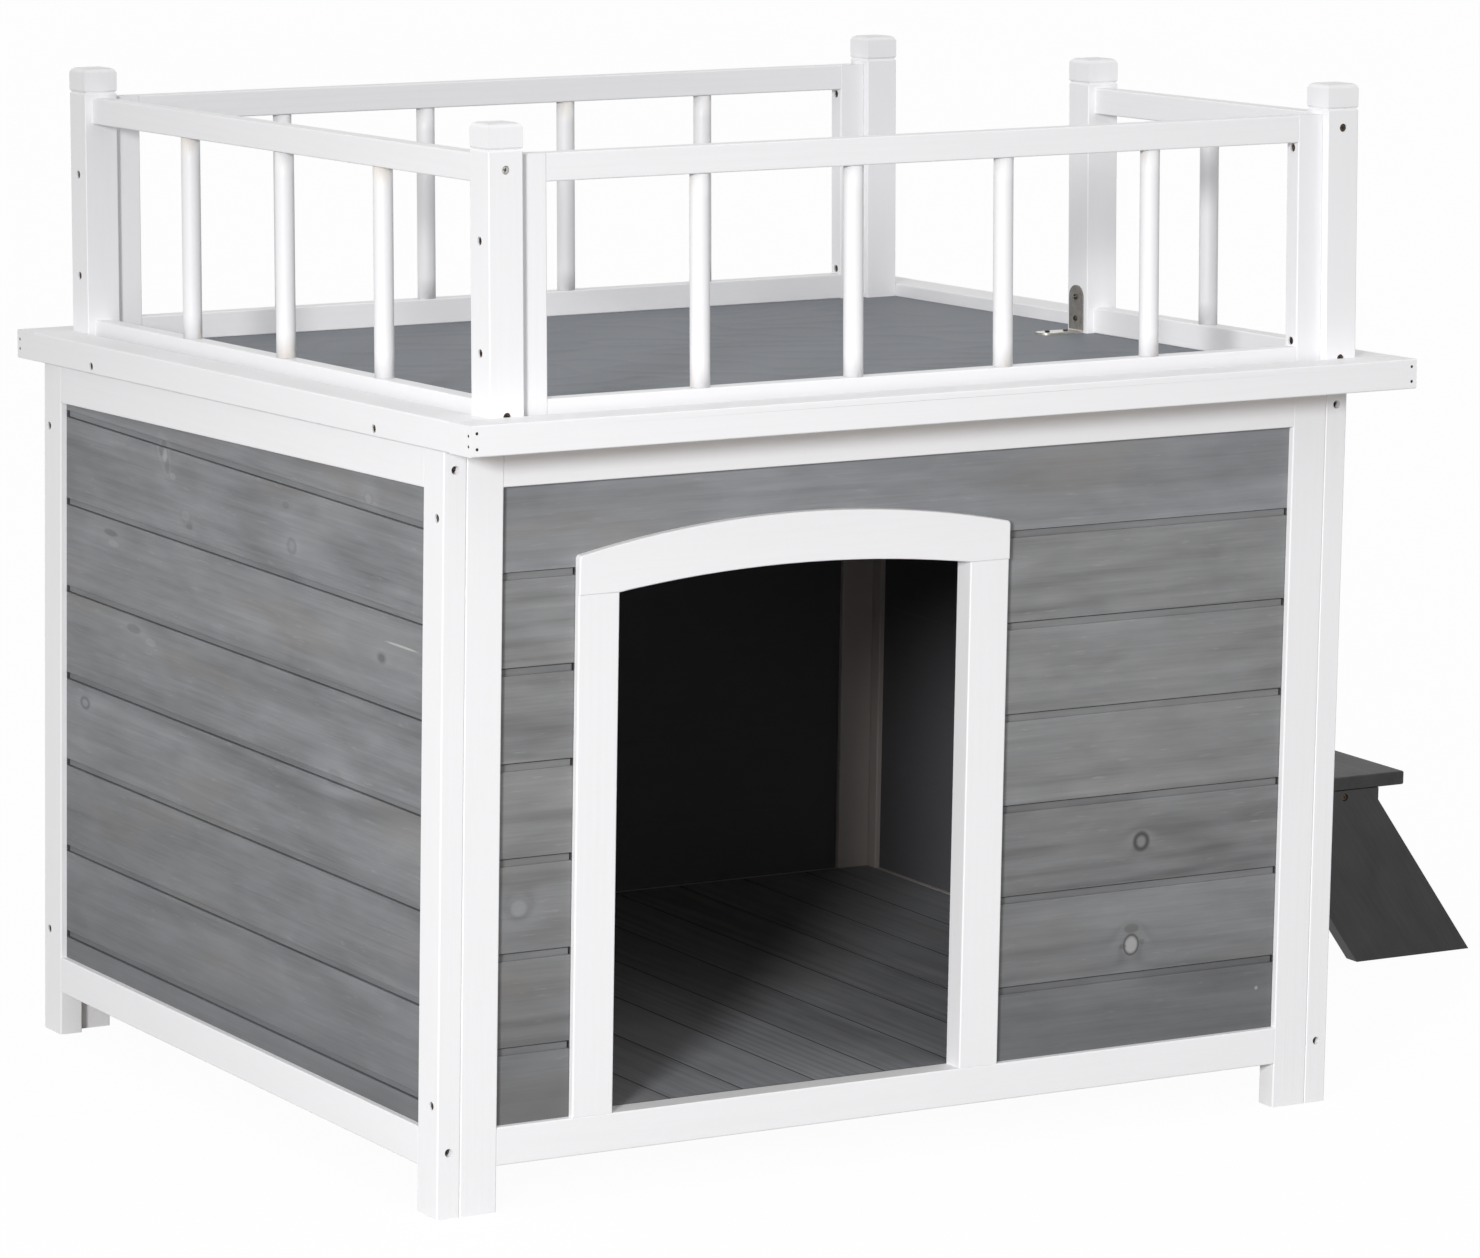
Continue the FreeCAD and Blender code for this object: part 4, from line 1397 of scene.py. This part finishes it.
@dataclass(frozen=True)
class Balcony:
    """Posts, rails and dowels round the deck."""

    radius: float = 0.0098
    tenon: float = 0.0069
    low: float = 0.0339
    high: float = 0.2585
    seat: float = 0.0097
    thin: float = 0.024
    sides: int = 40
    end_stile: float = 0.030
    centre: float = 0.0185
    gap_post: float = 0.410
    spread: float = 0.004
    # A dimmer copy of the white paint for the dowels: painted shade, so that their lit side does not clip to
    # white.
    pale: Colour = (0.874, 0.868, 0.882, 1.0)

    def dowel_stock(self) -> bpy.types.Object:
        """One upright dowel, its foot at the origin, with its thinly painted ends marked."""
        length = self.high - self.low
        half = [(0.0, self.tenon), (self.seat, self.tenon)]
        half += [(self.seat, self.radius), (self.seat + self.thin, self.radius)]
        levels = half + [(length - z, radius) for z, radius in reversed(half)]
        mesh = loft("dowel_stock", [circle(radius, z, self.sides) for z, radius in levels])
        mesh.polygons.foreach_set("use_smooth", [abs(face.normal.z) < 0.5 for face in mesh.polygons])
        middle = length / 2 - self.seat - TINY
        mark(mesh, "seat", lambda place: abs(place.z - length / 2) > middle)
        return new_object("dowel_stock", mesh)

    def row(
        self, rows: RowTree, side: str, count: int, first: tuple[float, float], last: tuple[float, float]
    ) -> None:
        """Make the dowels of one railing.

        Args:
            rows: The tree that repeats the stock.
            side: The side of the house.
            count: How many there are.
            first: Roof x and s of the support before the first.
            last: Roof x and s of the support after the last.
        """
        begin, end = (HOUSE.roof() @ Vector((*spot, self.low)) for spot in (first, last))
        step = (end - begin) / (count + 1)
        # The dowels take a dimmer copy of the white paint: painted shade.
        paint = WhitePaint("white_dowel", Timber(Grain.UPRIGHT), self.pale)
        rows.lay(
            side + "_dowels", "white_paint", side + "_railing_dowels", self.dowel_stock(), paint,
            count=count, start=tuple(begin + step), step=tuple(step), turn=(-HOUSE.slope, 0.0, 0.0),
            across=(1.0, 0.0, 0.0), spread=self.spread, spin=math.tau, seed=31,
        )

    def build(self, rows: RowTree) -> None:
        """Make the dowels of the four railings."""
        left, right = HOUSE.deck_left + self.centre, HOUSE.deck_right - self.centre
        front, back = HOUSE.deck_front + self.centre, HOUSE.deck_back - self.centre
        near = HOUSE.deck_left + HOUSE.post + self.end_stile
        far = HOUSE.deck_right - HOUSE.post - self.end_stile
        begin, end = HOUSE.deck_front + HOUSE.post, HOUSE.deck_back - HOUSE.post
        self.row(rows, "front", 4, (near, front), (far, front))
        self.row(rows, "back", 4, (near, back), (far, back))
        self.row(rows, "left", 3, (left, begin), (left, end))
        self.row(rows, "right", 1, (right, begin), (right, self.gap_post))

    def dress(self) -> None:
        """Paint posts and rails."""
        posts = ("front_left", "front_right", "back_left", "back_right", "gap")
        dress(white(Grain.UPRIGHT), *(name + "_post" for name in posts))
        dress(white(Grain.UPRIGHT), "front_railing_end_stiles", "back_railing_end_stiles")
        for side, grain in SIDES.items():
            dress(white(grain), side + "_railing_top_rail", side + "_railing_bottom_rail")


@dataclass(frozen=True)
class Stair:
    """The short stair with its worn treads."""

    count: int = 3
    depth: float = 0.165
    thickness: float = 0.0155
    eased: float = 0.0022
    worn_run: float = 0.016
    rise: float = 0.1804
    going: float = 0.130

    def tread_stock(self, width: float) -> bpy.types.Object:
        """One tread, its nose to the right, with its wear stored from the nose back."""
        work = bmesh.new()
        bmesh.ops.create_cube(work, size=1.0)
        bmesh.ops.scale(work, vec=(self.depth, width, self.thickness), verts=work.verts)
        bmesh.ops.translate(work, vec=(self.depth / 2, width / 2, self.thickness / 2), verts=work.verts)
        bmesh.ops.bevel(work, geom=work.edges, offset=self.eased, segments=3, profile=0.5, affect="EDGES")
        mesh = mesh_from("tread_stock", work)
        mark(mesh, "nose", lambda place: 1.0 - (self.depth - place.x) / self.worn_run)
        return new_object("tread_stock", mesh)

    def build(self, rows: RowTree) -> None:
        """Make the treads."""
        low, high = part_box("stair_treads")
        rise = (high.z - self.thickness - low.z) / (self.count - 1)
        run = (high.x - self.depth - low.x) / (self.count - 1)
        rows.lay(
            "treads", "stair_stain", "stair_treads", self.tread_stock(high.y - low.y),
            StairStain("stair_stain_treads", Timber(Grain.FLOOR)),
            count=self.count, start=(high.x - self.depth, low.y, low.z), step=(-run, 0.0, rise),
            turn=(0.0, 0.0, 0.0), across=(1.0, 0.0, 0.0), spread=self.depth, seed=41,
        )

    def dress(self) -> None:
        """Stain the stringers along their slope, and the cleats."""
        sloping = Timber(Grain.FRONT, tilt=-math.atan2(self.rise, self.going))
        dress(StairStain("stair_stain_stringers", sloping), "stair_front_stringer", "stair_back_stringer")
        dress(StairStain("stair_stain_cleats", Timber(Grain.FLOOR)), "stair_cleats")


@dataclass(frozen=True)
class ScrewStock:
    """A countersunk screw with a cross in its head, its head at the origin and its point along z."""

    length: float = 0.060
    head: float = 0.0036
    head_height: float = 0.0024
    shank: float = 0.0019
    rim: float = 0.00415
    dome: float = 0.0
    cross: float = 0.0023
    slot: float = 0.0006
    slot_depth: float = 0.0012
    sides: int = 24
    flat: float = 0.80
    crown: float = 0.92
    crown_low: float = 0.0002
    rim_high: float = 0.0004
    rim_low: float = 0.0006
    point_from: float = 0.86
    point: float = 0.2
    taper: float = 0.6
    # Heights of the head's parts that get painted shade.
    painted_shade_from: float = 0.0003
    painted_shade_to: float = 0.0018

    def cross_outline(self, share: float, z: float) -> list[Vector]:
        """The cross's outline, drawn in by a share of its length."""
        far, near = self.cross * share, self.slot
        quarter = [(far, -near), (far, near), (near, near)]
        made = []
        for turn in range(4):
            spin = Matrix.Rotation(turn * math.pi / 2, 2)
            made += [Vector((*(spin @ Vector(point)), z)) for point in quarter]
        return made

    def stock(self, name: str) -> bpy.types.Object:
        """The screw as a hidden object."""
        work = bmesh.new()
        profile = (
            (self.head * self.flat, -self.dome), (self.head * self.crown, self.crown_low),
            (self.rim, self.rim_high), (self.rim, self.rim_low), (self.shank, self.head_height),
            (self.shank, self.length * self.point_from), (self.shank * self.point, self.length),
        )
        rings = [circle(radius, z, self.sides) for radius, z in profile]
        made = [[work.verts.new(point) for point in ring] for ring in rings]
        for ring, after in zip(made, made[1:]):
            bridge(work, after, ring)
        work.faces.new(made[-1])
        if self.cross:
            self.recess(work, made[0], rings[0])
        else:
            work.faces.new(made[0][::-1])
        bmesh.ops.recalc_face_normals(work, faces=work.faces)
        mesh = mesh_from(name, work)
        # The rim ring and the bed of the cross are marked for painted shade, near black and not metallic.
        mark(mesh, "hole_shade_and_dark_leg", lambda place: self.painted_shade_from < place.z < self.painted_shade_to)
        return new_object(name, mesh)

    def recess(self, work: bmesh.types.BMesh, rim: list[bmesh.types.BMVert], ring: list[Vector]) -> None:
        """Fill the head's face round a cross that goes into it."""
        mouth = self.cross_outline(1.0, -self.dome)
        bed = self.cross_outline(self.taper, self.slot_depth)
        top = [work.verts.new(point) for point in mouth]
        low = [work.verts.new(point) for point in bed]
        corners = rim + top
        for triangle in geometry.tessellate_polygon([ring, mouth]):
            work.faces.new([corners[index] for index in triangle])
        bridge(work, top, low)
        work.faces.new(low)


@dataclass(frozen=True)
class Fasteners:
    """Every screw and nail, set where the frame has it."""

    short_limit: float = 0.030
    flat_end: float = 0.0001
    off_axis: float = 0.002
    backward: float = 0.9

    @staticmethod
    def islands(node: str) -> list[np.ndarray]:
        """The corner points of each loose solid in a CAD node."""
        work = bmesh.new()
        work.from_mesh(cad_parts[node].data)
        bmesh.ops.remove_doubles(work, verts=work.verts, dist=TINY)
        left = set(work.verts)
        found = []
        while left:
            start = left.pop()
            group, edge = [start], [start]
            while edge:
                for link in edge.pop().link_edges:
                    for vertex in link.verts:
                        if vertex in left:
                            left.discard(vertex)
                            group.append(vertex)
                            edge.append(vertex)
            found.append(np.array([vertex.co for vertex in group]))
        work.free()
        return sorted(found, key=lambda points: tuple(points.mean(axis=0).round(5)))

    def axis(self, points: np.ndarray) -> tuple[np.ndarray, np.ndarray, float]:
        """The head's place, the direction to the point and the length of one fastener."""
        middle = points.mean(axis=0)
        direction = np.linalg.svd(points - middle)[2][0]
        along = (points - middle) @ direction
        wide = np.linalg.norm((points - middle) - np.outer(along, direction), axis=1)
        if along[wide.argmax()] > (along.max() + along.min()) / 2:
            direction, along = -direction, -along
        core = middle + direction * along.min()
        ring = points[along < along.min() + self.flat_end]
        centre = (ring.max(axis=0) + ring.min(axis=0)) / 2
        head = centre if np.linalg.norm(centre - core) < self.off_axis else core
        return head, direction, float(np.ptp(along))

    def spots(self, node: str) -> list[tuple[np.ndarray, np.ndarray, float]]:
        """Place, direction and length of every fastener in a node."""
        return [self.axis(points) for points in self.islands(node)]

    def build(self, driven: DrivenTree) -> None:
        """Make long screws, short screws and nails."""
        screws = self.spots("screws")
        steel = Steel("screw_steel", shade(104, 91, 76), shade(50, 42, 35))
        bright = Steel("bright_screw_steel", shade(216, 214, 210), shade(164, 160, 154))
        dark = Steel("nail_steel", shade(70, 66, 62), shade(40, 37, 35), rough=0.5)
        long = [spot for spot in screws if spot[2] > self.short_limit]
        short = [spot for spot in screws if spot[2] <= self.short_limit]
        facing = [spot for spot in long if spot[1][1] > self.backward]
        # One screw, the highest and leftmost of those that point back, gets bright steel.
        brightest = max(range(len(facing)), key=lambda index: facing[index][0][2] - facing[index][0][0])
        others = [spot for spot in long if spot is not facing[brightest]]
        self.drive(driven, "long_screws", others, ScrewStock(), steel, 51, "screws")
        self.drive(driven, "newest_screw", [facing[brightest]], ScrewStock(), bright, 54, "screws")
        pan = ScrewStock(
            length=0.0138, head=0.0031, head_height=0.0016, rim=0.0031, dome=0.0002,
            cross=0.0019, slot=0.0005, slot_depth=0.0008,
        )
        self.drive(driven, "bracket_screws", short, pan, steel, 52, "screws")
        nail = ScrewStock(
            length=0.0498, head=0.00145, head_height=0.0008, shank=0.00075, rim=0.00148, cross=0.0, sides=12
        )
        self.drive(driven, "corner_nails", self.spots("roof_nails"), nail, dark, 53, "roof_nails")

    @staticmethod
    def drive(
        driven: DrivenTree, name: str, spots: list, kind: ScrewStock, finish: Finish, seed: int, node: str
    ) -> None:
        """Set one kind of fastener on its spots.

        Args:
            driven: The tree that sets them.
            name: The piece's name.
            spots: Places, directions and lengths.
            kind: The fastener.
            finish: Its finish.
            seed: Seed of the heads' turns.
            node: The CAD node that it stands for.
        """
        mesh = bpy.data.meshes.new(name + "_spots")
        mesh.from_pydata([tuple(place) for place, _, _ in spots], [], [])
        aim = mesh.attributes.new("aim", "FLOAT_VECTOR", "POINT")
        directions = np.concatenate([direction for _, direction, _ in spots])
        aim.data.foreach_set("vector", directions.astype(np.float32))
        driven.lay(name, "screw_steel", node, kind.stock(name + "_stock"), finish, base=mesh, seed=seed)


@dataclass(frozen=True)
class Bracket:
    """The bent steel angle at the foot of the gap post."""

    leg: float = 0.050
    width: float = 0.025
    thickness: float = 0.002
    bend: float = 0.003
    upright_dark: float = 0.65
    narrowest: float = 0.0004
    tip_steps: int = 12
    bend_steps: int = 8

    def stations(self) -> list[tuple[float, float]]:
        """Ways along the strip from the tip of the upright leg, each with the half width there."""
        half = self.width / 2
        bend_run = self.bend * math.pi / 2
        straight = self.leg - self.bend
        total = 2 * straight + bend_run
        tip = []
        for step in range(self.tip_steps + 1):
            turn = math.pi / 2 * step / self.tip_steps
            tip.append((half * (1 - math.cos(turn)), max(half * math.sin(turn), self.narrowest)))
        middle = [(straight + bend_run * step / self.bend_steps, half) for step in range(self.bend_steps + 1)]
        return tip + middle + [(total - way, wide) for way, wide in reversed(tip)]

    def path(self, way: float) -> tuple[Vector, Vector]:
        """Outer face's place and outward direction at a way along the strip, in x and height."""
        straight = self.leg - self.bend
        bend_run = self.bend * math.pi / 2
        if way <= straight:
            return Vector((0.0, self.leg - way)), Vector((1.0, 0.0))
        if way >= straight + bend_run:
            return Vector((-self.bend - (way - straight - bend_run), 0.0)), Vector((0.0, -1.0))
        turn = (way - straight) / self.bend
        outward = Vector((math.cos(turn), -math.sin(turn)))
        return Vector((-self.bend, self.bend)) + outward * self.bend, outward

    def build(self) -> None:
        """Make the bracket against the post and the deck."""
        low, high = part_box("gap_bracket")
        middle_y = (low.y + high.y) / 2
        sections = []
        for way, half in self.stations():
            outer, outward = self.path(way)
            inner = outer - outward * self.thickness
            sections.append([
                Vector((outer.x, -half, outer.y)), Vector((outer.x, half, outer.y)),
                Vector((inner.x, half, inner.y)), Vector((inner.x, -half, inner.y)),
            ])
        mesh = loft("bracket", sections)
        # The upright leg is marked darker than the flat leg.
        mark(mesh, "hole_shade_and_dark_leg", lambda place: self.upright_dark * (place.z > self.bend))
        back = (HOUSE.roof().inverted() @ Vector((high.x, middle_y, high.z))).y
        heel = HOUSE.roof() @ Vector((HOUSE.deck_right - HOUSE.post, back, HOUSE.cover_high))
        mesh.transform(Matrix.Translation((heel.x, middle_y, heel.z)) @ Matrix.Rotation(-HOUSE.slope, 4, "X"))
        steel = Steel("bracket_steel", shade(236, 236, 232), shade(176, 168, 154), rough=0.34, grit_scale=130.0)
        mesh.materials.append(steel.material())
        settle(new_object("bracket", mesh), "bright_steel", "gap_bracket")


@dataclass(frozen=True)
class Studio:
    """Floor, light and camera."""

    floor_reach: float = 60.0
    sky: float = 0.47
    key_watts: float = 2230.0
    key_away: float = 9.0
    key_turn: float = math.radians(48)
    key_rise: float = math.radians(17)
    key_radius: float = 0.75
    key_cone: float = math.radians(28)
    key_aim: tuple[float, float, float] = (-0.20, -0.43, 0.30)
    top_strength: float = 0.42
    top_from: tuple[float, float, float] = (-0.10, -0.25, 0.96)
    top_spread: float = math.radians(70)
    paper_lit: float = 0.50
    paper_seen: float = 1.0
    paper_glow: float = 0.965
    camera_place: tuple[float, float, float] = (-3.0708, -5.6684, 1.7499)
    yaw: float = math.radians(30.0726)
    pitch: float = math.radians(10.2254)
    roll: float = math.radians(0.8339)
    focal: float = 6940.96
    centre: tuple[float, float] = (636.27, 620.14)
    image: tuple[int, int] = (1480, 1258)
    sensor: float = 36.0
    clip: float = 200.0

    def floor(self) -> None:
        """A pale floor that the camera sees as white, with the house's shadow on it."""
        work = bmesh.new()
        bmesh.ops.create_grid(work, x_segments=1, y_segments=1, size=self.floor_reach)
        mesh = mesh_from("floor", work)
        material = bpy.data.materials.new("floor_paper")
        material.use_nodes = True
        material.node_tree.nodes.clear()
        graph = Graph(material.node_tree)
        seen = self.seen(graph)
        lit, shown = ((level, level, level, 1.0) for level in (self.paper_lit, self.paper_seen))
        paper = graph.add("ShaderNodeBsdfDiffuse", {}, {"Color": graph.mix(seen, lit, shown)})["BSDF"]
        glow = graph.add("ShaderNodeEmission", {}, {"Color": WHITE, "Strength": 1.0})["Emission"]
        surface = graph.add("ShaderNodeMixShader", {}, {0: seen * self.paper_glow, 1: paper, 2: glow})["Shader"]
        graph.add("ShaderNodeOutputMaterial", {}, {"Surface": surface})
        mesh.materials.append(material)
        new_object("floor", mesh)

    @staticmethod
    def seen(graph: Graph) -> Value:
        """1 where a ray comes from the camera, or by way of a mirror or glass."""
        light_path = graph.add("ShaderNodeLightPath")
        either = graph.math("MAXIMUM", light_path["Is Camera Ray"], light_path["Is Glossy Ray"])
        return graph.math("MAXIMUM", either, light_path["Is Transmission Ray"])

    def world(self) -> None:
        """An even sky, seen as white."""
        world = bpy.data.worlds.new("studio")
        world.use_nodes = True
        world.node_tree.nodes.clear()
        graph = Graph(world.node_tree)
        strength = self.sky + self.seen(graph) * (1.0 - self.sky)
        light = graph.add("ShaderNodeBackground", {}, {"Color": WHITE, "Strength": strength})["Background"]
        graph.add("ShaderNodeOutputWorld", {}, {"Surface": light})
        bpy.context.scene.world = world

    def lamps(self) -> None:
        """A round light from the front left, which reaches through the doorway, and a broad one from above."""
        key = bpy.data.lights.new("key", "SPOT")
        key.energy = self.key_watts
        key.shadow_soft_size = self.key_radius
        key.spot_size = self.key_cone
        key.spot_blend = 1.0
        level = Vector((-math.sin(self.key_turn), -math.cos(self.key_turn))) * math.cos(self.key_rise)
        made = bpy.data.objects.new("key", key)
        made.location = Vector((*level, math.sin(self.key_rise))) * self.key_away
        made.rotation_mode = "QUATERNION"
        made.rotation_quaternion = (made.location - Vector(self.key_aim)).to_track_quat("Z", "Y")
        made.visible_camera = False
        top = bpy.data.lights.new("top", "SUN")
        top.energy = self.top_strength
        top.angle = self.top_spread
        above = bpy.data.objects.new("top", top)
        above.rotation_mode = "QUATERNION"
        above.rotation_quaternion = Vector(self.top_from).to_track_quat("Z", "Y")
        for lamp in (made, above):
            bpy.context.scene.collection.objects.link(lamp)

    def camera(self) -> None:
        """The camera at the photograph's angle."""
        lens = bpy.data.cameras.new("camera")
        lens.sensor_width = self.sensor
        lens.lens = self.focal / self.image[0] * self.sensor
        lens.shift_x = (self.image[0] / 2 - self.centre[0]) / self.image[0]
        lens.shift_y = (self.centre[1] - self.image[1] / 2) / self.image[0]
        lens.clip_end = self.clip
        turns = ((self.roll, "Y"), (self.pitch, "X"), (self.yaw, "Z"))
        rows = functools.reduce(operator.matmul, [Matrix.Rotation(turn, 3, axis) for turn, axis in turns])
        axes = Matrix((rows[0], rows[2], -rows[1])).transposed().to_4x4()
        made = bpy.data.objects.new("camera", lens)
        made.matrix_world = Matrix.Translation(HOUSE.spot(*self.camera_place)) @ axes
        bpy.context.scene.collection.objects.link(made)
        bpy.context.scene.camera = made

    def build(self) -> None:
        """Set up the studio."""
        self.floor()
        self.world()
        self.lamps()
        self.camera()
        bpy.context.scene.view_settings.view_transform = "Standard"


def main() -> None:
    """Build and dress the house."""
    logging.basicConfig(level=logging.INFO, format="%(name)s: %(message)s")
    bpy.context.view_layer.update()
    rows, driven = RowTree(), DrivenTree()
    for assembly in (Walls(), CabinFloor(), Balcony(), Stair()):
        assembly.build(rows)
        assembly.dress()
    roof = Roof()
    roof.build()
    roof.dress()
    Fasteners().build(driven)
    Bracket().build()
    Studio().build()


if __name__ == "__main__":
    main()
